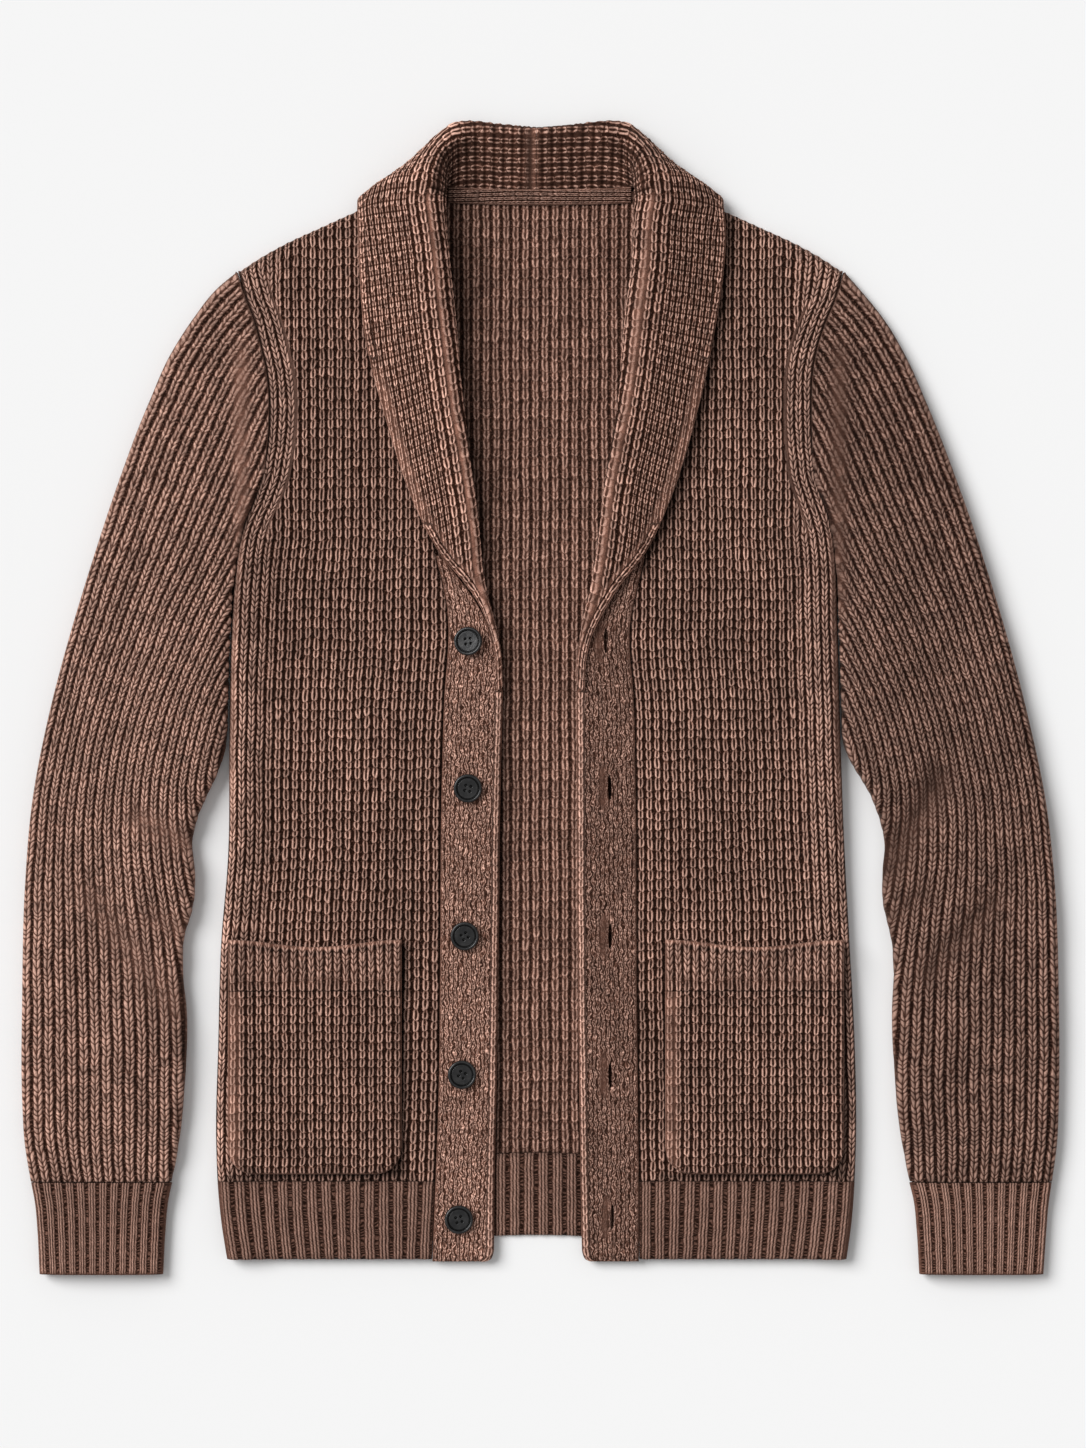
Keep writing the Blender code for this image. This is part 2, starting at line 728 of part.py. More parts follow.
def cut(target, cutter):
    """Takes the cutter's shape out of the target."""
    modifier = target.modifiers.new("holes", "BOOLEAN")
    modifier.operation = "DIFFERENCE"
    modifier.solver = "EXACT"
    modifier.object = cutter


def button_mesh():
    """A four-hole button: a turned disc with a raised rim, pierced four times."""
    profile = [(0.0, 0.0), (BUTTON_BASE, 0.0), (BUTTON_RADIUS - 0.5, 1.4),
               (BUTTON_RADIUS, 2.8), (BUTTON_RADIUS - 0.5 * BUTTON_RIM, BUTTON_HEIGHT),
               (BUTTON_RADIUS - BUTTON_RIM, 3.7),
               (BUTTON_RADIUS - 1.4 * BUTTON_RIM, BUTTON_WELL), (0.0, BUTTON_WELL)]
    turned = bmesh.new()
    verts = [turned.verts.new((r * MM, 0, z * MM)) for r, z in profile]
    edges = [turned.edges.new(pair) for pair in zip(verts, verts[1:])]
    bmesh.ops.spin(turned, geom=verts + edges, cent=(0, 0, 0), axis=(0, 0, 1),
                   angle=2 * math.pi, steps=18, use_merge=True)
    bmesh.ops.remove_doubles(turned, verts=turned.verts, dist=0.00001)
    bmesh.ops.recalc_face_normals(turned, faces=turned.faces)
    mesh = bpy.data.meshes.new("button")
    turned.to_mesh(mesh)
    turned.free()
    blank = bpy.data.objects.new("button_blank", mesh)
    bpy.context.scene.collection.objects.link(blank)
    cut(blank, hole_cutter())
    bpy.context.view_layer.update()
    pierced = bpy.data.meshes.new_from_object(
        blank.evaluated_get(bpy.context.evaluated_depsgraph_get()))
    bpy.data.objects.remove(blank)
    pierced.materials.clear()
    pierced.materials.append(material("button_horn"))
    pierced.shade_smooth()
    pierced.set_sharp_from_angle(angle=math.radians(40))
    return pierced


def hole_cutter():
    """Four upright rods where the thread goes through a button."""
    rods = bmesh.new()
    for sx in (-1, 1):
        for sy in (-1, 1):
            made = bmesh.ops.create_cone(rods, cap_ends=True, segments=8,
                                         radius1=BUTTON_HOLE * MM, radius2=BUTTON_HOLE * MM,
                                         depth=20 * MM)
            bmesh.ops.translate(rods, verts=made["verts"],
                                vec=(sx * BUTTON_HOLE_PITCH * MM, sy * BUTTON_HOLE_PITCH * MM, 0))
    return hidden_cutter("button_hole_cutter", rods)


def make_buttons():
    """The five buttons, each turned and tilted a little on the right band."""
    mesh = button_mesh()
    rows = zip(*BUTTONS.values())
    for number, (x, y, tilt_x, tilt_y, turn) in enumerate(rows, start=1):
        lean = math.radians(abs(tilt_x) + abs(tilt_y))
        seat = FRONT_TOP + BUTTON_SEAT + BUTTON_BASE * math.sin(lean)
        made = bpy.data.objects.new(f"button_{number}", mesh)
        made.location = (x * MM, y * MM, seat * MM)
        made.rotation_euler = (math.radians(tilt_x), math.radians(tilt_y), math.radians(turn))
        bpy.context.scene.collection.objects.link(made)


# --- pockets -------------------------------------------------------------------

def pocket_grid(side, y_low, y_high, rows, corners):
    """Plan grid of a pocket; its lower corners are rounded where corners is set."""
    inner, outer = POCKET[side]
    t = crowded(rows)[:, None] if corners else np.linspace(0, 1, rows)[:, None]
    s = np.array([POCKET_COLUMNS])
    low = y_low + 0 * s
    if corners:
        reach = POCKET_CORNER / (outer - inner)
        near = np.minimum(s, 1 - s)
        low = y_low + POCKET_CORNER * (1 - quarter(near / reach))
    x = side * (mix(inner, outer, s) + 0 * t)
    return x, mix(low, y_high(s), t)


def pocket_heights(side, x, y, mouth):
    """Both faces of the patch, off the front by its gap, rounded at its edges."""
    inner, outer = POCKET[side]
    gape = smooth((y - (POCKET_MOUTH - MOUTH_OPEN_REACH)) / MOUTH_OPEN_REACH)
    low = front_top(x, y) + POCKET_OFF + MOUTH_OPEN * gape
    near = np.minimum(np.abs(x) - inner, outer - np.abs(x))
    if not mouth:
        near = np.minimum(near, y - y[0])
    return low, low + mix(POCKET_EDGE, POCKET_WALL, quarter(near / POCKET_ROUND))


def make_pocket(side):
    """The patch below its rim, with two rounded lower corners."""
    x, y = pocket_grid(side, POCKET_LOW, lambda s: RIM_LOW + 0 * s, 8, True)
    low, high = pocket_heights(side, x, y, False)
    slab("pocket_" + SIDE_NAME[side], x, y, low, high, "wool_pocket")


def make_pocket_rim(side):
    """The ribbed rim along the pocket's mouth, which sags a little."""
    x, y = pocket_grid(side, RIM_LOW + SEAM_GAP,
                       lambda s: POCKET_MOUTH - POCKET_SAG * np.sin(np.pi * s) ** 2, 3, False)
    low, high = pocket_heights(side, x, y, True)
    slab("pocket_rim_" + SIDE_NAME[side], x, y, low, high, "wool_rib")


# --- sleeves and cuffs ------------------------------------------------------------

def crease(x, y, side):
    """Depth of the creases at plan points: rounded troughs along short lines."""
    depth = np.zeros_like(x)
    rows = zip(*CREASE.values())
    for on, x1, y1, x2, y2, width, deep in rows:
        if on != side:
            continue
        px, py = np.abs(x) - x1, y - y1
        dx, dy = x2 - x1, y2 - y1
        t = (px * dx + py * dy) / (dx * dx + dy * dy)
        away = np.hypot(px - np.clip(t, 0, 1) * dx, py - np.clip(t, 0, 1) * dy)
        depth += deep * np.exp(-(away / width) ** 2)
    return depth


def round_section(across, power):
    """Height of a flattened tube's face across it: 0 at its folds, 1 between."""
    return (1 - np.abs(2 * across - 1) ** power) ** (1 / power)


def beside(line, y, wall):
    """Distance from the middle of a line one half wall away from the folded edge."""
    slope = (line(y + 2) - line(y - 2)) / 4
    return wall / 2 * np.sqrt(1 + slope**2)


def tube_middle(side, across, y_outer, y_inner, top, fold, wall, near, begun, bow):
    """Middle surface of a flattened tube, one closed ring for each row.

    The upper sheet runs from the outer fold to the inner one and the lower
    sheet back again, flat on the surface.  near is the gap kept to the body, and
    begun is 0 on the armhole's row and 1 on rows where the fold stands beside it.
    """
    outer = outer_fold[side](y_outer) - beside(outer_fold[side], y_outer, wall)
    inner = inner_fold[side](y_inner) + beside(inner_fold[side], y_inner, wall) + near
    out = mix(outer[:, None], inner[:, None], across) - bow
    y = mix(y_outer[:, None], y_inner[:, None], across)
    upright = np.maximum(smooth((across - 0.75) / 0.2) * begun[:, None],
                         0.4 * smooth((across - 0.6) / 0.2) + 0.6 * smooth((across - 0.8) / 0.12))
    clear = near[:, None] * (1 + FOLD_CLEARANCE * begun[:, None]) + wall / 2 * upright
    clear = clear + OUTER_CLEARANCE * smooth((0.14 - across) / 0.1)
    out = np.where(y < SHOULDER_TIP, np.maximum(out, edge[side](y) + clear), out)
    x = side * out
    crown = round_section(across, UPPER_ROUND)
    upper = fold[:, None] + ((top - wall / 2 - fold)[:, None] - crease(x, y, side)) * crown
    lower = fold[:, None] - (fold - wall / 2)[:, None] * round_section(across, LOWER_ROUND)
    up = np.stack([x, y, upper], axis=-1)
    down = np.stack([x, y, lower], axis=-1)[:, -2:0:-1]
    return np.concatenate([up, down], axis=1)


def armhole_bow(side, along, across, wall):
    """How far the sleeve's rows bend in towards the armhole, fading down the arm."""
    y = mix(SLEEVE_TOP, UNDERARM, across)
    straight = mix(outer_fold[side](SLEEVE_TOP) - beside(outer_fold[side], SLEEVE_TOP, wall),
                   inner_fold[side](UNDERARM) + beside(inner_fold[side], UNDERARM, wall)
                   + ARMHOLE_GAP, across)
    bow = straight - edge[side](y) - ARMHOLE_GAP
    inner_end = smooth((1 - across) / BOW_END)
    return bow * mix(inner_end, 1, across < 0.5) * (1 - smooth(along / BOW_FADE))


def make_sleeve(side):
    """A sleeve: a flattened tube from the armhole to the cuff's seam."""
    along = np.concatenate([[0, 0.035], np.linspace(0.09, 1, 12)])
    heights = [y for y in BODY_ROWS if UNDERARM <= y <= SLEEVE_TOP][::-1]
    across = (SLEEVE_TOP - np.array([heights])) / (SLEEVE_TOP - UNDERARM)
    y_outer = mix(SLEEVE_TOP, CUFF_SEAM + SEAM_GAP / 2, along)
    y_inner = mix(UNDERARM, CUFF_SEAM + SEAM_GAP / 2, along)
    bow = armhole_bow(side, along[:, None], across, KNIT)
    middle = tube_middle(side, across, y_outer, y_inner, sleeve_top(along),
                         sleeve_fold(along), KNIT, np.full_like(along, ARMHOLE_GAP),
                         smooth(along / 0.03), bow)
    shell("sleeve_" + SIDE_NAME[side], middle, KNIT, "wool_sleeve", closed=True, outwards=side,
          thinned=fold_thinning(middle))


def fold_thinning(middle):
    """How much a tube's wall thins at each point near its two folds, by distance across."""
    out = np.abs(middle[..., 0])
    near = np.minimum(out - out.min(axis=1, keepdims=True), out.max(axis=1, keepdims=True) - out)
    return FOLD_THINNING * (1 - smooth(near / FOLD_THIN_REACH))


def make_cuff(side):
    """A ribbed cuff: the same tube, thinner and drawn in, down to the wrist."""
    along = np.array([0, 0.2, 0.5, 1])
    across = crowded(8, 0.85)[None, :]
    y = mix(CUFF_SEAM - 2 * SEAM_GAP, CUFF_LOW, along)
    top = mix(sleeve_top(1.0), CUFF_TOP, smooth(along * 2.5))
    fold = mix(sleeve_fold(1.0), CUFF_FOLD, smooth(along * 2.5))
    middle = tube_middle(side, across, y, y, top, fold, CUFF_KNIT, 0 * along, 0 * along, 0.0)
    shell("cuff_" + SIDE_NAME[side], middle, CUFF_KNIT, "wool_rib", closed=True,
          outwards=side)


# --- collar and neck tape -----------------------------------------------------------

def front_knots(side):
    """Six points across the collar for each row of its front stretch."""
    rows = COLLAR_ROWS
    roll = np.stack([roll_line[side](rows["roll"]), rows["roll"]], axis=-1)
    free = np.stack([edge_line[side](rows["edge"]), rows["edge"]], axis=-1)
    crest, wall = rows["crest"], rows["wall"]
    length = np.linalg.norm(free - roll, axis=-1)
    heading = (free - roll) / length[:, None]
    foot_y = rows["roll"]
    for _ in range(6):
        reach = (collar_foot(foot_y) - roll[:, 0]) / heading[:, 0]
        foot_y = roll[:, 1] + reach * heading[:, 1]
    low = FRONT_LOW + wall / 2 + neck_lift(roll[:, 0], roll[:, 1])
    land = front_top(side * free[:, 0], free[:, 1]) + FALL_GAP + wall / 2
    high = np.maximum(crest - wall / 2, land + 0.1)
    turn = np.minimum((high - low) / 2, 0.25 * length)
    reaches = np.stack([reach, wall / 2 + 0 * reach, wall / 2 + turn,
                        mix(wall / 2 + turn, length, 0.4), mix(wall / 2 + turn, length, 0.75),
                        length], axis=1)
    heights = np.stack([low, mix(low, high, 0.5), high, mix(high, land, 0.28),
                        mix(high, land, 0.68), land], axis=1)
    plan = roll[:, None, :] + heading[:, None, :] * reaches[..., None]
    return np.concatenate([plan, heights[..., None]], axis=-1)


def back_knots():
    """The same six points for each row round the shoulder and the back."""
    rows = COLLAR_BACK
    places = ("foot", "up", "crest", "fold", "under", "edge")
    return np.stack([np.stack([rows[f"{p}_{c}"] for c in "xyz"], axis=-1) for p in places],
                    axis=1)


def through(knots, at):
    """Points along smooth curves through the knots of each row.

    at runs from 0 to 1 by length from knot to knot.
    """
    chord = np.linalg.norm(np.diff(knots, axis=1), axis=-1)
    key = np.concatenate([np.zeros((len(knots), 1)), np.cumsum(chord, axis=1)], axis=1)
    key /= key[:, -1:]
    slope = np.empty_like(knots)
    slope[:, 1:-1] = (knots[:, 2:] - knots[:, :-2]) / (key[:, 2:] - key[:, :-2])[..., None]
    slope[:, 0] = (knots[:, 1] - knots[:, 0]) / key[:, 1:2]
    slope[:, -1] = (knots[:, -1] - knots[:, -2]) / (key[:, -1:] - key[:, -2:-1])
    i = (at[None, :, None] >= key[:, None, 1:-1]).sum(axis=-1)
    rows = np.arange(len(knots))[:, None]
    width = (key[rows, i + 1] - key[rows, i])[..., None]
    t = (at[None, :] - key[rows, i])[..., None] / width
    return ((2 * t**3 - 3 * t**2 + 1) * knots[rows, i] + (3 * t**2 - 2 * t**3) * knots[rows, i + 1]
            + ((t**3 - 2 * t**2 + t) * slope[rows, i] + (t**3 - t**2) * slope[rows, i + 1]) * width)


def collar_middle(side, rows, columns):
    """Middle surface and wall of half the collar, tip to centre back."""
    knots = np.concatenate([front_knots(side), back_knots()])
    crest = knots[:, 2]
    key = np.concatenate([[0], np.cumsum(np.linalg.norm(np.diff(crest, axis=0), axis=-1))])
    at = np.interp(np.linspace(0, len(key) - 1, rows), np.arange(len(key)), key)
    flat = knots.reshape(len(knots), -1)
    fine = np.stack([curve(key, flat[:, i])(at) for i in range(flat.shape[1])], axis=-1)
    fine = fine.reshape(rows, *knots.shape[1:])
    walls = np.append(COLLAR_ROWS["wall"], np.full(len(COLLAR_BACK["foot_x"]), KNIT))
    middle = through(fine, np.linspace(0, 1, columns))
    centre = COLLAR_CENTRE * smooth(1 - middle[..., 0] / 60) * smooth((middle[..., 1] - 200) / 90)
    middle[..., 0] = side * middle[..., 0] + centre
    middle[..., 2] = np.maximum(middle[..., 2], KNIT / 2)
    return middle, np.broadcast_to(curve(key, walls)(at)[:, None], (rows, columns))


def make_collar(side):
    """Half the shawl collar: stand, roll and fall in one strip."""
    middle, wall = collar_middle(side, 27, 11)
    shell("collar_" + SIDE_NAME[side], middle, wall, "wool_collar", outwards=-side)


def make_tape():
    """The tape that covers the seam between the back neck and the collar."""
    s = np.linspace(-1, 1, 11)[None, :]
    t = np.linspace(0, 1, 4)[:, None]
    x = COLLAR_CENTRE + TAPE_HALF * s + 0 * t
    y = mix(TAPE_LOW, TAPE_HIGH, t) + TAPE_END_RISE * s**2
    low = FRONT_TOP + 0.5 + 1.3 * t
    slab("neck_tape", x, y, low + 0 * x, low + TAPE_KNIT + 0 * x, "neck_tape")


def build():
    for old in list(bpy.data.objects):
        bpy.data.objects.remove(old)
    make_back()
    make_back_hem()
    for side in SIDES:
        make_front(side)
        make_front_hem(side)
        make_sleeve(side)
        make_cuff(side)
        make_collar(side)
        make_pocket(side)
        make_pocket_rim(side)
    make_tape()
    make_band(RIGHT, "button_band")
    cut(make_band(LEFT, "buttonhole_band"), slit_cutter())
    make_buttons()


build()
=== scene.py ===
"""Shawl collar cardigan in chunky half-cardigan wool, laid flat on its back.

Every cloth piece is one grid of points that repeats its solid's form, raised by
the height of its stitches.  Sizes and tables are in millimetres: x runs to the
wearer's left and y to the collar, both from the middle of the body, and z up from
the surface it lies on.  A side is -1 for the wearer's right and +1 for the left.
"""

import math

import bmesh
import bpy
import numpy as np
from mathutils import Euler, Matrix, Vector


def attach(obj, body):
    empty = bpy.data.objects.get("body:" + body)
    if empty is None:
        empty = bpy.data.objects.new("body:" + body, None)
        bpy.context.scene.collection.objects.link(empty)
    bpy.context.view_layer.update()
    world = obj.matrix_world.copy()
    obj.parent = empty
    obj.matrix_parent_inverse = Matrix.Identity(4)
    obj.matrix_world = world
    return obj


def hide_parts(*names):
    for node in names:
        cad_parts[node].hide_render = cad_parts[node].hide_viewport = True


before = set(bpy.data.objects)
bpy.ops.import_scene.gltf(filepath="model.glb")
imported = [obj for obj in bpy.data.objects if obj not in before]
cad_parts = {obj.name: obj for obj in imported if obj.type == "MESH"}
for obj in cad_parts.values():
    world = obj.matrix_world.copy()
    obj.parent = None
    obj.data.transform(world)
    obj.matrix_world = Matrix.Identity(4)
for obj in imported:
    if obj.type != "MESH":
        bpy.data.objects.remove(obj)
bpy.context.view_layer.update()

MM = 0.001
RIGHT = -1
LEFT = 1
SIDES = (RIGHT, LEFT)
SIDE_NAME = {RIGHT: "right", LEFT: "left"}

# --- the cardigan's own sizes -----------------------------------------------

KNIT = 4.0
CUFF_KNIT = 3.6
TAPE_KNIT = 1.5
SEAM_GAP = 0.3
LAYER_GAP = 0.6
FALL_GAP = 0.8
BACK_TOP = KNIT
FRONT_LOW = BACK_TOP + LAYER_GAP
FRONT_TOP = FRONT_LOW + KNIT
FOLD_HEIGHT = 6.5
FOLD_LIP = 1.2
SIDE_FOLD = 7.0
SIDE_FALLOFF = 26.0
SHOULDER_FOLD = 5.0
EDGE_THIN = 1.6
HEM_LOW = -381.0
HEM_SEAM = -328.0
SHOULDER_TIP = 289.0
NECK_POINT = 344.0
BACK_NECK = 340.0
BACK_HEM_LIFT = 16.0
BACK_SEAM_LIFT = 19.0
UNDERARM = 107.0
SLEEVE_TOP = 288.0
CUFF_SEAM = -328.0
CUFF_LOW = -391.0
ARMHOLE_GAP = 0.85
NECK_HALF = 73.0
NECK_LIFT = 4.6
NECK_LIFT_FROM = 268.0
NECK_LIFT_RAMP = 42.0
NECK_LIFT_CURVE = 14.0
NECK_LIFT_REACH = 120.0
NECK_LIFT_END = 114.0
NECK_LIFT_FADE = 22.0
POCKET_LOW = -323.0
POCKET_CORNER = 18.0
POCKET_WALL = 3.6
POCKET_MOUTH = -164.0
POCKET_SAG = 5.0
RIM_LOW = -199.0
POCKET_OFF = 0.75
MOUTH_OPEN = 1.2
POCKET_ROUND = 4.0
POCKET = {RIGHT: (94.0, 211.5), LEFT: (84.5, 205.5)}
TAPE_LOW = 333.5
TAPE_HIGH = 344.0
TAPE_HALF = 62.0
TAPE_CENTRE = -0.5
TAPE_END_RISE = 1.5
CUFF_TOP = 12.4
CUFF_FOLD = 5.2
FOLD_THINNING = 2.2
FOLD_THIN_REACH = 14.0
COLLAR_CENTRE = -2.7
SLIT_LENGTH = 17.0
SLIT_WIDTH = 2.6
BAND_LOW = HEM_LOW - 1.5


def table(names, *rows):
    """A short table as named columns."""
    data = np.array(rows, float)
    return {name: data[:, i] for i, name in enumerate(names.split())}


EDGE = table(
    "y right left",
    (-381, 212.5, 207.5), (-355, 216.5, 211.0), (-328, 219.0, 213.0), (-300, 220.0, 214.0),
    (-233, 218.5, 213.0), (-165, 216.5, 209.5), (-110, 212.0, 206.5), (-29, 211.0, 203.5),
    (46, 209.5, 201.5), (85, 207.0, 200.5), (107, 204.0, 199.0), (121, 200.0, 196.0),
    (134, 194.0, 191.5), (148, 189.0, 187.0), (168, 185.5, 184.5), (195, 183.5, 183.5),
    (222, 185.5, 184.5), (240, 189.5, 188.0), (257, 194.0, 194.0), (270, 199.0, 199.5),
    (289, 204.0, 204.0))
SHOULDER = table(
    "out y",
    (73, 344.0), (92, 340.0), (110, 334.8), (127, 328.6), (150, 318.4), (174.5, 307.0),
    (194.5, 295.5), (204, 289.0))
BAND = table(
    "y right_seam right_free left_seam left_free",
    (-381, 73.5, 31.6, 67.0, 28.2), (-328, 71.5, 31.2, 67.0, 27.2),
    (-273, 69.5, 30.0, 66.5, 26.4), (-178, 68.3, 28.6, 65.5, 25.3),
    (-70, 67.5, 27.3, 65.0, 24.8), (-2, 65.6, 25.6, 63.6, 24.6), (53, 63.0, 24.6, 61.5, 24.4),
    (66, 64.3, 24.6, 64.0, 24.4), (80, 67.2, 24.6, 67.2, 24.4), (93, 70.6, 24.6, 70.6, 24.4),
    (107, 73.0, 24.6, 73.0, 24.4), (344, 73.0, 24.6, 73.0, 24.4))
FOOT = table(
    "y out cut",
    (5, 26.2, 27.4), (14, 26.6, 27.8), (26, 27.8, 29.6), (39, 30.2, 32.8), (53, 34.6, 37.6),
    (66, 41.4, 44.8), (80, 51.5, 55.0), (90, 59.5, 62.8), (98, 65.0, 68.2), (110, 68.8, 71.4),
    (140, 70.0, 72.6), (351, 70.4, 73.0))
COLLAR_LINES = table(
    "y roll_right roll_left edge_right edge_left",
    (-2, 25.2, 24.1, 29.2, 29.4), (12, 25.5, 24.1, 29.4, 30.0), (26, 26.4, 24.8, 29.9, 31.0),
    (39, 28.2, 26.2, 32.3, 33.9), (53, 31.4, 28.9, 36.6, 39.3), (66, 35.2, 32.3, 42.8, 47.6),
    (80, 38.4, 35.4, 53.0, 56.6), (93, 40.6, 37.4, 64.6, 67.6), (107, 41.3, 39.6, 74.3, 77.0),
    (120, 42.4, 41.8, 80.6, 82.2), (148, 45.4, 43.8, 91.5, 92.8),
    (175, 49.6, 48.8, 100.4, 101.0), (202, 52.7, 52.7, 108.3, 107.2),
    (230, 54.9, 54.2, 115.0, 113.0), (257, 57.4, 56.9, 120.0, 119.2),
    (284, 59.4, 60.0, 121.5, 123.0), (311, 62.6, 62.6, 122.6, 124.4),
    (340, 65.0, 63.6, 122.8, 124.6))
COLLAR_ROWS = table(
    "roll edge crest wall",
    (8, 4, 10.6, 1.6), (34, 29, 11.4, 1.8), (49, 42, 12.4, 2.4), (68, 61, 13.6, 3.4),
    (86, 77, 14.4, 4.0), (106, 93, 15.0, 4.0), (148, 129, 16.8, 4.0), (199, 178, 20.0, 4.0),
    (263, 250, 24.5, 4.0), (300, 292, 28.5, 4.0), (326, 319, 30.5, 4.0))
COLLAR_BACK = table(
    "foot_x foot_y foot_z up_x up_y up_z crest_x crest_y crest_z "
    "fold_x fold_y fold_z under_x under_y under_z edge_x edge_y edge_z",
    (69.8, 334.5, 10.8, 65.9, 337, 19.5, 76, 338.5, 28.3,
     95, 338, 23.5, 111.5, 335.5, 17.5, 123, 331, 12.4),
    (68.8, 339.5, 10.2, 65.4, 344, 19, 75, 349, 27,
     95, 350.5, 20.5, 109.5, 346, 13.5, 121.5, 337.8, 7.5),
    (67.8, 343.5, 9.8, 65.2, 350, 17.5, 73, 358.5, 25,
     93, 357, 13.5, 105, 349.5, 5.5, 112, 341.8, 2.2),
    (66.6, 346.3, 8.8, 64.6, 355, 16, 70, 366, 22.5,
     86.5, 363.5, 10, 93, 353, 2.6, 98, 334, 2),
    (63.8, 347, 8, 62.6, 359, 14.4, 65, 373, 20,
     76.8, 373, 9.2, 80, 364, 2.5, 84, 327, 2),
    (57.5, 345.2, 7.2, 57.5, 361, 12, 58.5, 378, 16.4,
     62, 386, 8.6, 64, 377.5, 2.4, 66, 321.5, 2),
    (47, 343.1, 6.9, 47.2, 362, 10.4, 47.6, 380.5, 13.8,
     48.6, 389, 7.8, 47.6, 380.5, 2.4, 45, 318, 2),
    (25, 341.5, 6.7, 25.5, 361, 9, 25.8, 380, 11.2,
     26, 387.2, 6.8, 26, 379.5, 2.4, 25, 316.5, 2),
    (0.5, 341, 6.7, 0.5, 361, 8.6, 0.5, 379, 10.6,
     0.5, 385.3, 6.5, 0.5, 378.5, 2.4, 0.5, 316, 2))
SLEEVE_OUTER = table(
    "y right left",
    (289, 204.6, 204.6), (279, 216.6, 213.5), (257, 234.5, 231.5), (230, 251.5, 247.5),
    (202, 264.0, 260.0), (148, 285.0, 281.5), (93, 303.5, 300.5), (39, 320.0, 317.0),
    (-15, 334.0, 331.0), (-70, 344.5, 342.5), (-124, 349.3, 348.5), (-206, 351.5, 351.5),
    (-274, 351.5, 351.5), (-301, 350.0, 350.5), (-328, 345.8, 347.0), (-342, 343.2, 345.0),
    (-362, 341.4, 343.3), (-391, 340.0, 341.3))
SLEEVE_INNER = table(
    "y right left",
    (107, 204.6, 199.6), (85, 207.6, 201.1), (46, 210.1, 202.1), (-10, 211.6, 203.6),
    (-34, 213.0, 205.5), (-49, 217.5, 213.0), (-63, 224.0, 221.5), (-83, 232.5, 229.5),
    (-97, 235.5, 232.7), (-117, 234.0, 231.5), (-138, 234.5, 231.7), (-165, 241.5, 237.5),
    (-185, 242.0, 239.0), (-212, 239.5, 238.0), (-246, 239.5, 239.0), (-274, 241.7, 241.0),
    (-301, 244.7, 244.7), (-328, 249.7, 250.0), (-342, 252.6, 253.3), (-362, 254.5, 255.3),
    (-391, 256.0, 257.0))
FULLNESS = table(
    "along top fold",
    (0.00, 9.4, 5.0), (0.08, 13.0, 6.0), (0.25, 18.0, 7.5), (0.50, 19.0, 7.8),
    (0.75, 18.0, 7.4), (0.92, 16.2, 6.8), (1.00, 14.0, 6.0))
CREASE = table(
    "side x1 y1 x2 y2 width depth",
    (-1, 272, -82, 236, -101, 9, 4.0), (-1, 303, -136, 251, -208, 11, 3.0),
    (-1, 262, -150, 243, -158, 8, 3.0), (1, 268, -57, 232, -120, 11, 4.5),
    (1, 258, -132, 237, -150, 9, 2.4), (1, 305, -140, 262, -185, 10, 2.8))
BUTTONS = table(
    "x y tilt_x tilt_y turn",
    (-48.6, 38.0, -3.0, -9.0, 8), (-49.3, -61.5, 1.5, 2.0, -12), (-51.3, -161.5, 2.0, -2.0, 30),
    (-53.3, -255.5, -1.5, 1.5, -25), (-55.4, -353.5, 1.5, 2.5, 15))
BUTTONHOLES = table(
    "x y lean",
    (44.2, 38.5, 0), (46.9, -61.0, 1.5), (47.3, -162.0, -1), (47.3, -256.0, 1),
    (48.7, -352.5, -2))

# Stitch sizes: the width of a rib or column, and the length of a row.
BODY_ROW = 6.8
BACK_RIB = 6.7
POCKET_RIB = 5.85
POCKET_ROW = 6.0
SLEEVE_ROW = 6.6
HEM_PERIOD = 9.66
RIB_ROW = 5.6
BAND_COLUMN = 3.06
BAND_ROW = 3.7
COLLAR_COLUMN = 4.2
COLLAR_BROAD = 6.3
COLLAR_ROW = 6.5
CROSS_HALF = 0.085
DOT_HALF = 0.18
EDGE_LINK_WIDTH = 5.2
EDGE_LINK_LENGTH = 5.4


# --- small tools ------------------------------------------------------------

def between(t, width, a, b, slope_a, slope_b):
    """A cubic piece from a to b, where t runs from 0 to 1 over the width."""
    return ((2 * t**3 - 3 * t**2 + 1) * a + (3 * t**2 - 2 * t**3) * b
            + ((t**3 - 2 * t**2 + t) * slope_a + (t**3 - t**2) * slope_b) * width)


def curve(keys, values):
    """A smooth curve through the rows: cubic pieces with their neighbours' mean slope."""
    order = np.argsort(keys)
    keys = np.asarray(keys, float)[order]
    values = np.asarray(values, float)[order]
    slopes = np.gradient(values, keys)

    def read(at):
        at = np.clip(np.asarray(at, float), keys[0], keys[-1])
        i = np.clip(np.searchsorted(keys, at, side="right") - 1, 0, len(keys) - 2)
        width = keys[i + 1] - keys[i]
        t = (at - keys[i]) / width
        return between(t, width, values[i], values[i + 1], slopes[i], slopes[i + 1])

    return read


def by_side(rows, suffix="", prefix=""):
    """A curve for each side from the columns of a table."""
    return {side: curve(rows["y"], rows[prefix + SIDE_NAME[side] + suffix]) for side in SIDES}


edge = by_side(EDGE)
band_seam = by_side(BAND, "_seam")
band_free = by_side(BAND, "_free")
outer_fold = by_side(SLEEVE_OUTER)
inner_fold = by_side(SLEEVE_INNER)
roll_line = by_side(COLLAR_LINES, prefix="roll_")
edge_line = by_side(COLLAR_LINES, prefix="edge_")
collar_foot = curve(FOOT["y"], FOOT["out"])
band_cut = curve(FOOT["y"], FOOT["cut"])
shoulder_line = curve(SHOULDER["out"], SHOULDER["y"])
sleeve_top = curve(FULLNESS["along"], FULLNESS["top"])
sleeve_fold = curve(FULLNESS["along"], FULLNESS["fold"])


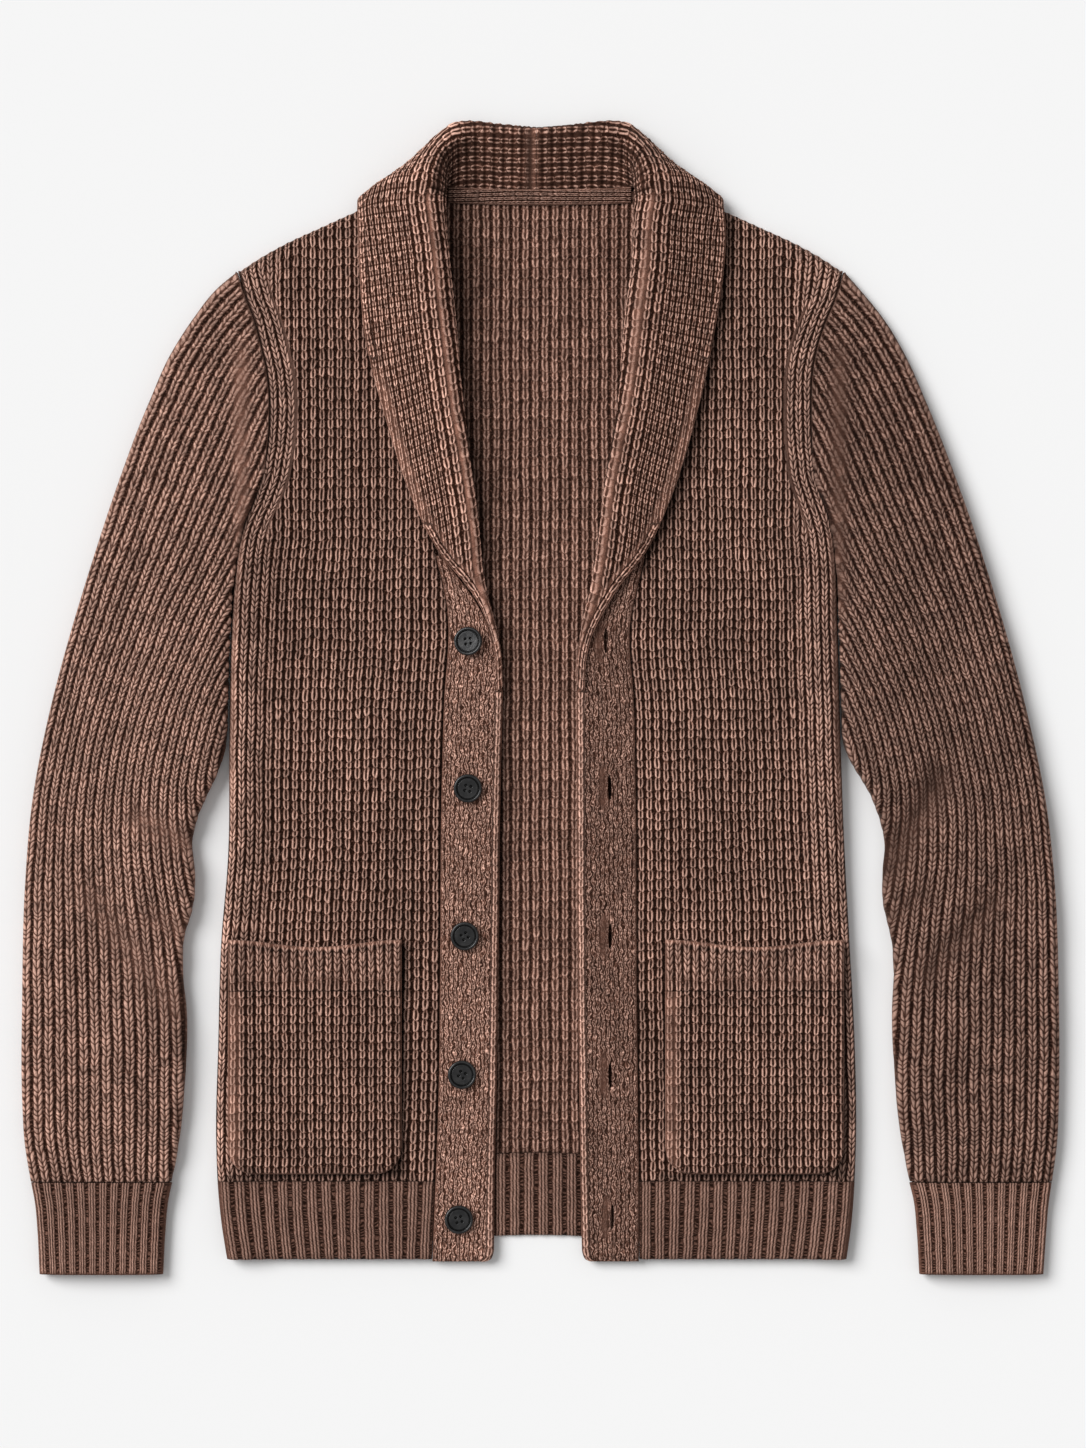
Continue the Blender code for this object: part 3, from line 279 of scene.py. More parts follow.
def smooth(t):
    """0 below 0, 1 above 1, and an S between."""
    t = np.clip(t, 0, 1)
    return t * t * (3 - 2 * t)


def fade(t):
    """1 below 0, 0 above 1, and an S between."""
    return 1 - smooth(t)


def mix(a, b, t):
    """From a where t is 0 to b where it is 1."""
    return a + (b - a) * t


def quarter(t):
    """A quarter circle, from 0 at 0 up to 1 at 1 and beyond."""
    return np.sqrt(1 - (1 - np.clip(t, 0, 1)) ** 2)


def dome(value, reach):
    """Half a circle: 1 at 0, and 0 at reach on both sides and beyond."""
    return np.sqrt(np.clip(1 - (value / reach) ** 2, 0, 1))


def bump(t):
    """1 at 0, falling away to nothing on both sides."""
    return np.exp(-t * t)


def cosine(turns):
    """1 at each whole turn and -1 halfway between."""
    return np.cos(2 * np.pi * turns)


def wander(x, y, seed):
    """Slow uneven drift between -1 and 1: five crossing waves, their sizes from a seed."""
    draw = np.random.default_rng(seed)
    total = 0.0
    for _ in range(5):
        angle, phase = draw.uniform(0, 2 * np.pi, 2)
        length = draw.uniform(28, 110)
        along = x * np.cos(angle) + y * np.sin(angle)
        total = total + np.sin(2 * np.pi * along / length + phase)
    return total / 3.2


# --- heights of the body's layers -------------------------------------------

def neck_lift(x, y):
    """How far the layers rise round the neck, over the folded collar."""
    start = NECK_LIFT_FROM + NECK_LIFT_CURVE * (x / NECK_LIFT_REACH) ** 2
    near = fade((np.abs(x) - NECK_LIFT_END) / NECK_LIFT_FADE)
    return NECK_LIFT * near * smooth((y - start) / NECK_LIFT_RAMP)


def inward(x, y):
    """Distance in from the body's side edge."""
    return np.where(x < 0, edge[RIGHT](y), edge[LEFT](y)) - np.abs(x)


def side_ridge(y):
    """Height of the front just inside its side fold: fullest at the chest, and down to
    the plain layer at the armhole."""
    fuller = mix(11.6, 14.6, smooth((y + 170) / 110))
    return mix(fuller, FRONT_TOP + 0.4, smooth((y - 95) / 35))


def side_open(y):
    """1 where the side is a closed fold, 0 where it is the armhole's seam."""
    return fade((y - 100) / 22)


def front_top(x, y):
    """Height of the front, rounded over at its side and at the shoulder."""
    away = inward(x, y)
    ridge = mix(side_ridge(y), FRONT_TOP, smooth((away - SIDE_FOLD) / SIDE_FALLOFF))
    start = mix(FRONT_TOP - 0.6, FOLD_HEIGHT + FOLD_LIP, side_open(y))
    body = mix(start, ridge, quarter(away / SIDE_FOLD))
    seam = BACK_TOP + LAYER_GAP / 2 + EDGE_THIN
    below = np.maximum(shoulder_line(np.abs(x)) - y, 0)
    return mix(seam, body, quarter(below / SHOULDER_FOLD)) + neck_lift(x, y)


def back_low(x, y):
    """Height of the back's underside, rounded up to the fold at its side."""
    up = (FOLD_HEIGHT - FOLD_LIP) * side_open(y) * (1 - quarter(inward(x, y) / SIDE_FOLD))
    return up + neck_lift(x, y)


def back_top(x, y):
    """Height of the back, with a lip up to the fold at its side."""
    lip = (FOLD_HEIGHT - BACK_TOP) * side_open(y) * fade(inward(x, y) / (1.4 * KNIT))
    return BACK_TOP + lip + neck_lift(x, y)


def front_low(x, y):
    """A layer's thickness below the front, but never into the back."""
    return np.maximum(front_top(x, y) - KNIT, back_top(x, y) + LAYER_GAP / 2)


# --- stitches ---------------------------------------------------------------
# A stitch's place is (u, v): whole numbers of ribs across and of rows up.  The same
# formulas are built again as shader nodes, so that mesh and material agree.

LINK_OPEN = 0.22
LINK_HALF = 0.14
LINK_RISE = 0.42
LINK_CLOSE = 0.7
LINK_SINK = 0.42
LINK_TAIL = 0.94
STROKE_AT = 0.2
STROKE_REACH = 0.195
STROKE_LEAN = 2.2
STROKE_DIP = 0.2
STROKE_RATE = 1.5
RIB_BASE = 0.2
STITCH_PUSH = 0.065
STITCH_SLIDE = 0.3
GROUP_START = 0.13
GROUP_SHARE = 0.74
BARS_PER_ROW = 2.4
RIB_LOOK = 0.35
COLLAR_LOOP = 0.85


def link_legs(s, t):
    """Height of a link's two strands: they leave the middle of the rib together at
    t = 0, soon run side by side, and sink a little to pass under the next link."""
    open_at = LINK_OPEN * quarter(t / LINK_RISE) * (1 - LINK_CLOSE * smooth((t - 0.7) / 0.5))
    strand = dome(np.abs(s - 0.5) - open_at, LINK_HALF) * (1 - LINK_SINK * t)
    return strand * smooth((t + 0.1) / 0.2) * fade((t - 0.9) / 0.4)


def links(s, t):
    """A rib of links, each over the tails of the one below it, on a low rounded rib."""
    legs = np.maximum(link_legs(s, t), LINK_TAIL * link_legs(s, t + 1))
    return np.maximum(legs, RIB_BASE * dome(s - 0.5, 0.4))


def strokes(s):
    """A rib of two round strands; the finish breaks them into slanting strokes."""
    return 0.75 * dome(np.abs(s - 0.5) - STROKE_AT, STROKE_REACH)


def chain(u, v, loop):
    """Ribs of links where loop is 1, and of two strands where it is 0."""
    s, t = u % 1, v % 1
    return mix(strokes(s), links(s, t), loop)


def two_by_two(u, v):
    """Raised groups of three strands, with a channel of little bars between them."""
    s = u % 1
    k = ((s - GROUP_START) / GROUP_SHARE * 3) % 1
    inside = smooth((s - 0.12) / 0.07) * fade((s - 0.81) / 0.07)
    strand = mix(0.1, 1.0, dome(k - 0.5, 0.5))
    raised = strand * dome(s - 0.5, 0.44) + 0.1 * cosine(2 * v + k)
    bars = 0.12 + 0.3 * (0.5 + 0.5 * np.cos(2 * np.pi * BARS_PER_ROW * v))
    return mix(bars, raised, inside)


# --- meshes -----------------------------------------------------------------

def in_scene(name, data):
    """An object for a mesh, a lamp or a camera, placed in the scene."""
    made = bpy.data.objects.new(name, data)
    bpy.context.scene.collection.objects.link(made)
    return made


def fill_mesh(name, points, groups, places, looks, finish):
    """An object from points in millimetres and face groups of equal corner count.

    places are the stitch places of the points, and looks their relief (0 smooth to
    1 full), loop shape and tone.
    """
    mesh = bpy.data.meshes.new(name)
    mesh.vertices.add(len(points))
    mesh.vertices.foreach_set("co", (np.asarray(points) * MM).astype(np.float32).ravel())
    corners = np.concatenate([g.ravel() for g in groups]).astype(np.int32)
    sizes = np.concatenate([np.full(len(g), g.shape[1]) for g in groups])
    starts = np.concatenate([[0], np.cumsum(sizes)[:-1]]).astype(np.int32)
    mesh.loops.add(len(corners))
    mesh.loops.foreach_set("vertex_index", corners)
    mesh.polygons.add(len(sizes))
    mesh.polygons.foreach_set("loop_start", starts)
    mesh.update(calc_edges=True)
    mesh.validate()
    set_look(mesh, np.asarray(places), np.asarray(looks))
    mesh.materials.append(finish)
    return in_scene(name, mesh)


def set_look(mesh, places, looks):
    """Gives a mesh its stitch places as UVs and its looks as an attribute, per vertex."""
    corners = np.empty(len(mesh.loops), np.int32)
    mesh.loops.foreach_get("vertex_index", corners)
    layer = mesh.uv_layers.get("stitches") or mesh.uv_layers.new(name="stitches")
    layer.data.foreach_set("uv", places[corners].astype(np.float32).ravel())
    look = mesh.attributes.get("look") or mesh.attributes.new("look", "FLOAT_VECTOR", "POINT")
    look.data.foreach_set("vector", looks.astype(np.float32).ravel())
    mesh.polygons.foreach_set("use_smooth", np.ones(len(mesh.polygons), bool))


def quads(index, closed=False):
    """Four-cornered faces of a grid of point numbers, turning from columns to rows."""
    following = np.roll(index, -1, axis=1) if closed else index[:, 1:]
    here = index if closed else index[:, :-1]
    return np.stack([here[:-1], following[:-1], following[1:], here[1:]], axis=-1).reshape(-1, 4)


def side_strip(fine, coarse, step):
    """Faces between a finely divided edge and a coarse one, one for each coarse step."""
    first = np.arange(len(coarse) - 1)[:, None] * step
    return np.column_stack([coarse[:-1], coarse[1:], fine[first + np.arange(step, -1, -1)]])


def cloth_wall(name, top, low, down, across, places, looks, finish, flip):
    """A closed wall: a fine outer grid, a coarse inner one of the same outline, and a
    rim between them.  down and across are the fine steps in one coarse step."""
    rows, columns = top.shape[:2]
    fine = np.arange(rows * columns).reshape(rows, columns)
    low = low[::down, ::across]
    coarse = rows * columns + np.arange(low.shape[0] * low.shape[1]).reshape(low.shape[:2])
    groups = [quads(fine), quads(coarse)[:, ::-1],
              side_strip(fine[0], coarse[0], across),
              side_strip(fine[:, -1], coarse[:, -1], down),
              side_strip(fine[-1, ::-1], coarse[-1, ::-1], across),
              side_strip(fine[::-1, 0], coarse[::-1, 0], down)]
    if flip:
        groups = [g[:, ::-1] for g in groups]
    points = np.vstack([top.reshape(-1, 3), low.reshape(-1, 3)])
    places, looks = (
        np.vstack([grid.reshape(-1, size), grid[::down, ::across].reshape(-1, size)])
        for grid, size in ((places, 2), (looks, 3)))
    return fill_mesh(name, points, groups, places, looks, finish)


def unit(vectors):
    """Vectors of length 1, the same way on."""
    return vectors / np.maximum(np.linalg.norm(vectors, axis=-1, keepdims=True), 1e-9)


def normals_of(grid):
    """Unit normals of a grid of points: columns crossed with rows."""
    return unit(np.cross(np.gradient(grid, axis=1), np.gradient(grid, axis=0)))


def stacked(*parts):
    """Coordinates or looks as one array, each part spread over the widest."""
    return np.stack(np.broadcast_arrays(*parts), axis=-1)


def flat_turn(x, y):
    """True where columns crossed with rows points down."""
    return ((x[0, -1] - x[0, 0]) * (y[-1, 0] - y[0, 0])
            - (y[0, -1] - y[0, 0]) * (x[-1, 0] - x[0, 0])) < 0


# --- materials --------------------------------------------------------------

SOCKET_KIND = {"value": "NodeSocketFloat", "colour": "NodeSocketColor",
               "vector": "NodeSocketVector"}


def sum_of(operation, turned=False):
    """A method that places a sum of a signal and something else."""
    def placed(self, other):
        pair = (other, self) if turned else (self, other)
        return self.wiring.math(operation, *pair)

    return placed


class Signal:
    """A node's output, which adds, subtracts, multiplies and divides as a number does."""

    def __init__(self, wiring, socket):
        self.wiring = wiring
        self.socket = socket

    __add__ = sum_of("ADD")
    __sub__ = sum_of("SUBTRACT")
    __rsub__ = sum_of("SUBTRACT", turned=True)
    __mul__ = sum_of("MULTIPLY")
    __truediv__ = sum_of("DIVIDE")


class Wiring:
    """Places and joins the nodes of one tree; its inputs are signals or plain values."""

    def __init__(self, tree):
        self.tree = tree
        self.given = {}

    def signals(self, node):
        """A node's outputs by name."""
        return {socket.name: Signal(self, socket) for socket in node.outputs}

    def put(self, socket, value):
        if isinstance(value, Signal):
            self.tree.links.new(value.socket, socket)
        else:
            socket.default_value = value

    def node(self, kind, inputs, **settings):
        """A node with its settings and its inputs, which are a dictionary by name or
        number, or a list from the first on."""
        made = self.tree.nodes.new("ShaderNode" + kind)
        for key, value in settings.items():
            setattr(made, key, value)
        named = inputs if isinstance(inputs, dict) else dict(enumerate(inputs))
        for key, value in named.items():
            self.put(made.inputs[key], value)
        return made

    def first(self, kind, inputs, **settings):
        """The first output of a new node."""
        return Signal(self, self.node(kind, inputs, **settings).outputs[0])

    def give(self, **values):
        """Puts the tree's results out and returns the tree."""
        end = self.tree.nodes.new("NodeGroupOutput")
        for label, value in values.items():
            self.put(end.inputs[label], value)
        return self.tree

    def math(self, operation, *values):
        return self.first("Math", values, operation=operation)

    def fract(self, value):
        return self.math("FRACT", value)

    def larger(self, a, b):
        return self.math("MAXIMUM", a, b)

    def bump(self, value, reach):
        """bump() as nodes: e to the minus square."""
        off = value / reach
        return self.math("POWER", math.e, off * off * -1.0)

    def dome(self, value, centre, reach):
        """Half a circle: 1 at the centre, 0 at reach from it."""
        off = (value - centre) / reach
        return self.math("SQRT", self.larger(1.0 - off * off, 0.0))

    def wave(self, value):
        """A cosine of whole turns, from 0 to 1."""
        return self.math("COSINE", value * (2 * math.pi)) * 0.5 + 0.5

    def ramp(self, value, start, end, low=0.0, high=1.0, kind="SMOOTHSTEP"):
        """From low at start to high at end along an S."""
        made = self.node("MapRange", {"Value": value, "From Min": start, "From Max": end,
                                      "To Min": low, "To Max": high}, interpolation_type=kind)
        return Signal(self, made.outputs["Result"])

    def line(self, value, start, end, low=0.0, high=1.0):
        """From low at start to high at end along a straight line, and level beyond."""
        return self.ramp(value, start, end, low, high, "LINEAR")

    def mix(self, a, b, t):
        return self.line(t, 0.0, 1.0, a, b)

    def blend(self, a, b, t, kind="MIX"):
        """Two colours mixed."""
        made = self.node("Mix", {"Factor": t, 6: a, 7: b}, data_type="RGBA", blend_type=kind)
        return Signal(self, made.outputs[2])

    def toned(self, colour, value):
        """A colour made lighter or darker."""
        grey = self.first("CombineColor", [value] * 3)
        return self.blend(colour, grey, 1.0, "MULTIPLY")

    def noise(self, vector, scale, detail=2.0, roughness=0.5):
        made = self.node("TexNoise", {"Vector": vector, "Scale": scale, "Detail": detail,
                                      "Roughness": roughness})
        return self.signals(made)["Fac"]

    def noises(self, vector, scale):
        """Two noises that have nothing to do with each other."""
        made = self.node("TexNoise", {"Vector": vector, "Scale": scale, "Detail": 1.0})
        parts = self.node("SeparateColor", [self.signals(made)["Color"]])
        return [Signal(self, socket) for socket in parts.outputs[:2]]

    def placed(self, group, **values):
        """The results of a group; _ stands for a space in the names of its inputs."""
        inputs = {key.replace("_", " ").capitalize(): value for key, value in values.items()}
        return self.signals(self.node("Group", inputs, node_tree=group))

    def split(self, vector):
        return list(self.signals(self.node("SeparateXYZ", [vector])).values())

    def look(self):
        """The look of a place on a mesh: relief, loop shape and tone."""
        made = self.node("Attribute", {}, attribute_name="look")
        return self.split(self.signals(made)["Vector"])

    def place(self):
        return self.signals(self.node("TexCoord", {}))["Object"]


def new_group(name, inputs, outputs="value Height"):
    """The wiring of a new shader group with named sockets."""
    group = bpy.data.node_groups.new(name, "ShaderNodeTree")
    for direction, sockets in (("INPUT", inputs), ("OUTPUT", outputs)):
        for text in sockets.split(", "):
            kind, label = text.split(" ", 1)
            group.interface.new_socket(name=label, in_out=direction,
                                       socket_type=SOCKET_KIND[kind])
    w = Wiring(group)
    w.given = w.signals(group.nodes.new("NodeGroupInput"))
    return w


def make_link_group():
    """link_legs() as nodes."""
    w = new_group("link_strands", "value S, value T")
    t = w.given["T"]
    still = w.line(t, 0.0, LINK_RISE, 1.0, 0.0)
    arch = w.math("SQRT", 1.0 - still * still)
    arch = arch * w.ramp(t, 0.7, 1.2, LINK_OPEN, LINK_OPEN * (1 - LINK_CLOSE))
    off = w.math("ABSOLUTE", w.given["S"] - 0.5) - arch
    strand = w.dome(off, 0.0, LINK_HALF) * (1.0 - t * LINK_SINK)
    return w.give(Height=strand * (w.ramp(t, -0.1, 0.1) * w.ramp(t, 0.9, 1.3, 1.0, 0.0)))


def make_chain_group(strands):
    """chain() as nodes, its strands broken into slanting strokes; each stitch sits a
    little off its place, and stray threads cross the valleys."""
    w = new_group("linked_ribs", "vector Stitch, value Loop")
    stitch = w.given["Stitch"]
    u, v = w.split(stitch)[:2]
    push, slide = w.noises(stitch, 0.8)
    s = w.fract(u + w.line(push, 0.25, 0.75, -STITCH_PUSH, STITCH_PUSH))
    row = v + w.line(slide, 0.25, 0.75, STITCH_SLIDE, -STITCH_SLIDE)
    t = w.fract(row)
    here = w.placed(strands, s=s, t=t)["Height"]
    below = w.placed(strands, s=s, t=t + 1.0)["Height"] * LINK_TAIL
    linked = w.larger(w.larger(here, below), w.dome(s, 0.5, 0.4) * RIB_BASE)
    out = w.math("ABSOLUTE", s - 0.5) - STROKE_AT
    along = (row - 0.5) * STROKE_RATE - out * STROKE_LEAN
    along = w.dome(w.math("FLOORED_MODULO", along, 1.0), 0.5, 0.5)
    grain = w.mix(STROKE_DIP, 1.0, along * along)
    slanted = w.dome(out, 0.0, STROKE_REACH) * grain
    height = w.mix(slanted, linked, w.given["Loop"])
    threads = w.line(w.noise(stitch, 4.2, 1.0), 0.48, 0.72, 0.0, 0.5)
    return w.give(Height=w.larger(height, threads))


def make_rib_group():
    """two_by_two() as nodes, with uneven stitches; it has no use for Loop."""
    w = new_group("two_by_two_rib", "vector Stitch, value Loop")
    stitch = w.given["Stitch"]
    u, v = w.split(stitch)[:2]
    uneven = w.line(w.noise(stitch, 0.9), 0.25, 0.75, -0.035, 0.035)
    s = w.fract(u + uneven)
    v = v + uneven * 12.0
    inside = w.ramp(s, 0.08, 0.15) * w.ramp(s, 0.85, 0.92, 1.0, 0.0)
    k = w.fract((s - GROUP_START) * (3 / GROUP_SHARE))
    strand = w.mix(-0.1, 1.0, w.dome(k, 0.5, 0.48))
    twist = (w.wave(v * 2.0 + k) - 0.5) * 0.2
    raised = strand * w.dome(s, 0.5, 0.5) + twist
    bars = w.wave(v * BARS_PER_ROW) * 0.8 - 0.15
    return w.give(Height=w.mix(bars, raised, inside))


def make_edge_group(chained):
    """Fine uneven columns broken by small dark pits, and where Loop is 1 the broader
    links of an edge column."""
    w = new_group("chained_edge", "vector Stitch, value Loop")
    stitch = w.given["Stitch"]
    u, v = w.split(stitch)[:2]
    broad = w.first("CombineXYZ", [u * (BAND_COLUMN / EDGE_LINK_WIDTH),
                                   v * (BAND_ROW / EDGE_LINK_LENGTH)])
    links = w.placed(chained, stitch=broad, loop=0.9)["Height"]
    push, slide = w.noises(stitch, 0.7)
    u = u + w.line(push, 0.2, 0.8, -0.5, 0.5)
    v = v + w.line(slide, 0.2, 0.8, -0.9, 0.9)
    v = v + w.math("FLOOR", u) * 0.37
    fine = w.placed(chained, stitch=w.first("CombineXYZ", [u, v]), loop=0.9)["Height"]
    fine = fine * (1.0 - w.bump(w.fract(v) - 0.5, 0.16) * 0.5)
    return w.give(Height=w.line(w.given["Loop"], 0.4, 0.6, fine, links))


def make_grid_group(chained):
    """Linked ribs crossed by a thin dark line at each row where Loop is 1, and broken
    up into single dots where it is 2."""
    w = new_group("crossed_ribs", "vector Stitch, value Loop")
    stitch, loop = w.given["Stitch"], w.given["Loop"]
    height = w.placed(chained, stitch=stitch, loop=COLLAR_LOOP)["Height"]
    off = w.fract(w.split(stitch)[1]) - 0.5
    half = w.line(loop, 1.0, 2.0, CROSS_HALF, DOT_HALF)
    strength = w.line(loop, 1.0, 2.0, 0.5, 0.55) * w.line(loop, 0.0, 1.0)
    height = w.larger(height, w.line(loop, 1.0, 2.0, 0.0, 0.3))
    return w.give(Height=height * (1.0 - w.bump(off, half) * strength))


def make_wool_group():
    """Colour and fine height of yarn.

    The stitch's height sets painted light and shade: painted shade darkens the valleys
    between strands and a painted highlight lightens the strands' tops, over the yarn's
    own brown.  Each stitch differs a little, flecks of lighter and darker fibre
    run through it, and a soft haze of fibres roughens its height.
    """
    w = new_group(
        "heather_yarn_and_valley_shade",
        "vector Place, vector Stitch, value Height, value Relief, value Tone, value Dark at, "
        "value Light at, value Smooth tone, value Spread, colour Dark, colour Middle, "
        "colour Light",
        "colour Colour, value Height")
    given = w.given
    place = given["Place"]
    # Low stitches take painted shade, high ones a painted highlight.
    depth = w.ramp(given["Height"], given["Dark at"], given["Light at"])
    depth = w.mix(given["Smooth tone"], depth, given["Relief"])
    low = w.blend(given["Dark"], given["Middle"], w.line(depth, 0.0, 0.5))
    colour = w.blend(low, given["Light"], w.line(depth, 0.5, 1.0))
    cell = w.first("VectorMath", [given["Stitch"]], operation="FLOOR")
    own = w.signals(w.node("TexWhiteNoise", {"Vector": cell}, noise_dimensions="2D"))["Value"]
    tone = (own - 0.5) * given["Spread"] + 1.0
    fleck = w.ramp(w.noise(place, 1100.0, 2.0, 0.6), 0.3, 0.7, 0.78, 1.22)
    heather = w.ramp(w.noise(place, 260.0, 3.0, 0.6), 0.32, 0.68, 0.87, 1.12)
    patch = w.ramp(w.noise(place, 16.0), 0.3, 0.7, 0.93, 1.07)
    tone = tone * fleck * (heather * patch) * given["Tone"]
    fuzz = (w.noise(place, 2100.0, 3.0, 0.65) - 0.5) * 0.3
    lumps = (w.noise(place, 420.0) - 0.5) * 0.35
    raised = given["Height"] * given["Relief"]
    return w.give(Colour=w.toned(colour, tone), Height=raised + (fuzz + lumps))


CHAIN_GROUP = make_chain_group(make_link_group())
RIB_GROUP = make_rib_group()
BAND_GROUP = make_edge_group(CHAIN_GROUP)
COLLAR_GROUP = make_grid_group(CHAIN_GROUP)
WOOL_GROUP = make_wool_group()

# The yarn by stitch height: painted shade in the valleys, the yarn's own brown, and a painted
# highlight on the strands' tops.
WOOL_PAINTED_VALLEY_SHADE = (0.016, 0.0054, 0.0028)
WOOL_MIDDLE = (0.137, 0.065, 0.0455)
WOOL_STRAND_HIGHLIGHT = (0.500, 0.302, 0.236)


def new_finish(name, **values):
    """A material with plain values for its shader, the wiring of it and the shader."""
    made = bpy.data.materials.new(name)
    made.use_nodes = True
    shader = made.node_tree.nodes["Principled BSDF"]
    for label, value in values.items():
        shader.inputs[label.replace("_", " ")].default_value = value
    return made, Wiring(made.node_tree), shader


def give_finish(w, shader, colour, height, depth, strength=1.0):
    """Gives a shader its colour and a bump, its depth in millimetres."""
    w.put(shader.inputs["Base Color"], colour)
    relief = {"Strength": strength, "Distance": depth * MM, "Height": height}
    w.put(shader.inputs["Normal"], w.first("Bump", relief))


def wool(name, stitches, dark_at=0.12, light_at=0.95, smooth_tone=0.62, tone=1.0, depth=1.1,
         spread=0.48):
    """A wool finish: one stitch pattern, its tones and the depth of its bump in mm."""
    made, w, shader = new_finish(
        name, Roughness=0.92, Specular_IOR_Level=0.05, Sheen_Weight=0.08,
        Sheen_Roughness=0.45, Sheen_Tint=(1.0, 0.74, 0.62, 1))
    stitch = w.signals(w.node("UVMap", {}, uv_map="stitches"))["UV"]
    relief, loop, own_tone = w.look()
    height = w.placed(stitches, stitch=stitch, loop=loop)["Height"]
    # Painted valley shade, the yarn's own brown and the painted strand highlight, all scaled by
    # tone.
    dark, middle, light = (tuple(c * tone for c in colour) + (1,)
                           for colour in (WOOL_PAINTED_VALLEY_SHADE, WOOL_MIDDLE, WOOL_STRAND_HIGHLIGHT))
    yarn = w.placed(WOOL_GROUP, place=w.place(), stitch=stitch, height=height, relief=relief,
                    tone=own_tone, dark_at=dark_at, light_at=light_at,
                    smooth_tone=smooth_tone, spread=spread,
                    dark=dark, middle=middle, light=light)
    give_finish(w, shader, yarn["Colour"], yarn["Height"], depth, 0.8)
    return made


def horn():
    """Dark horn: near black, with faint browner streaks and a soft shine."""
    made, w, shader = new_finish("button_horn_gloss")
    place = w.place()
    streak = w.ramp(w.noise(place, 160.0, 4.0, 0.6), 0.35, 0.7)
    colour = w.blend((0.006, 0.006, 0.0065, 1), (0.019, 0.0185, 0.0185, 1), streak)
    w.put(shader.inputs["Roughness"], w.mix(0.28, 0.38, streak))
    give_finish(w, shader, w.toned(colour, w.look()[2]), w.noise(place, 900.0), 0.1)
    return made


WOOL_BODY = wool("wool_body_knit", CHAIN_GROUP, light_at=0.86)
WOOL_BACK = wool("wool_back_knit", CHAIN_GROUP, dark_at=-0.1, light_at=1.08, tone=1.08)
WOOL_SLEEVE = wool("wool_sleeve_knit", CHAIN_GROUP, dark_at=-0.06)
WOOL_RIB = wool("wool_rib_knit", RIB_GROUP, dark_at=-0.2, light_at=1.35, smooth_tone=0.45,
                tone=0.8, spread=0.1)
WOOL_RIM = wool("wool_rim_knit", CHAIN_GROUP, dark_at=0.0)
WOOL_POCKET = wool("wool_pocket_knit", CHAIN_GROUP, light_at=0.87)
WOOL_COLLAR = wool("wool_collar_knit", COLLAR_GROUP)
WOOL_BAND = wool("wool_band_knit", BAND_GROUP, dark_at=-0.1, light_at=0.9, smooth_tone=0.5,
                 depth=0.9)
WOOL_TAPE = wool("neck_tape_knit", CHAIN_GROUP, light_at=0.92, depth=0.9)
HORN = horn()

# --- what the pieces stand for ----------------------------------------------


def keep(piece, slot, *nodes):
    """Attaches a finished piece to the root body and hides the solids it stands
    for; slot is not used.
    """
    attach(piece, "root")
    if nodes:
        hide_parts(*nodes)


# --- body -------------------------------------------------------------------

RELIEF = 1.5
RELIEF_MEAN = 0.56
DEEPEST = -1.1
FINE_ACROSS = 6
FINE_UP = 4
COARSE_UP = 8
FRONT_RIBS = 24
KEPT_RIBS = 17.0
BAND_BEND = 53.0
LEVEL_TOP = 331.0
STRETCH_FROM = 300.0
STROKES_FROM = 18.5
SHOWN_HALF = 56.0
BACK_FINE_HALF = 60.0
BACK_SIDE_STEPS = 24
HEM_STEPS = 41
HEM_PERIODS = 15
COLLAR_SHADE = {RIGHT: (0.2, 4), LEFT: (0.62, 10)}


def pressed(y, top, highest, zone):
    """Rows that would pass the top line, pressed into a zone below it, and how far
    they ran past the start of the zone."""
    start = top - zone
    over = np.maximum(y - start, 0)
    most = np.maximum(highest - start, zone)
    return np.minimum(np.where(over > 0, start + over / most * zone, y), top), over


def row_count(top):
    """Fine rows from the hem seam up to a top, in whole coarse steps."""
    return int(round((top - HEM_SEAM) / BODY_ROW * FINE_UP / COARSE_UP)) * COARSE_UP


def panel(node, slot, x, y, high, low, steps, places, looks, finish, cut=None):
    """Makes the closed layer of a node over plan points, between two heights; steps
    are the fine steps down and across in one coarse step."""
    made = cloth_wall(node + "_knit", stacked(x, y, high), stacked(x, y, low), *steps,
                      stacked(*places), stacked(*looks), finish, flat_turn(x, y))
    if cut:
        cut(made)
    keep(made, slot, node)


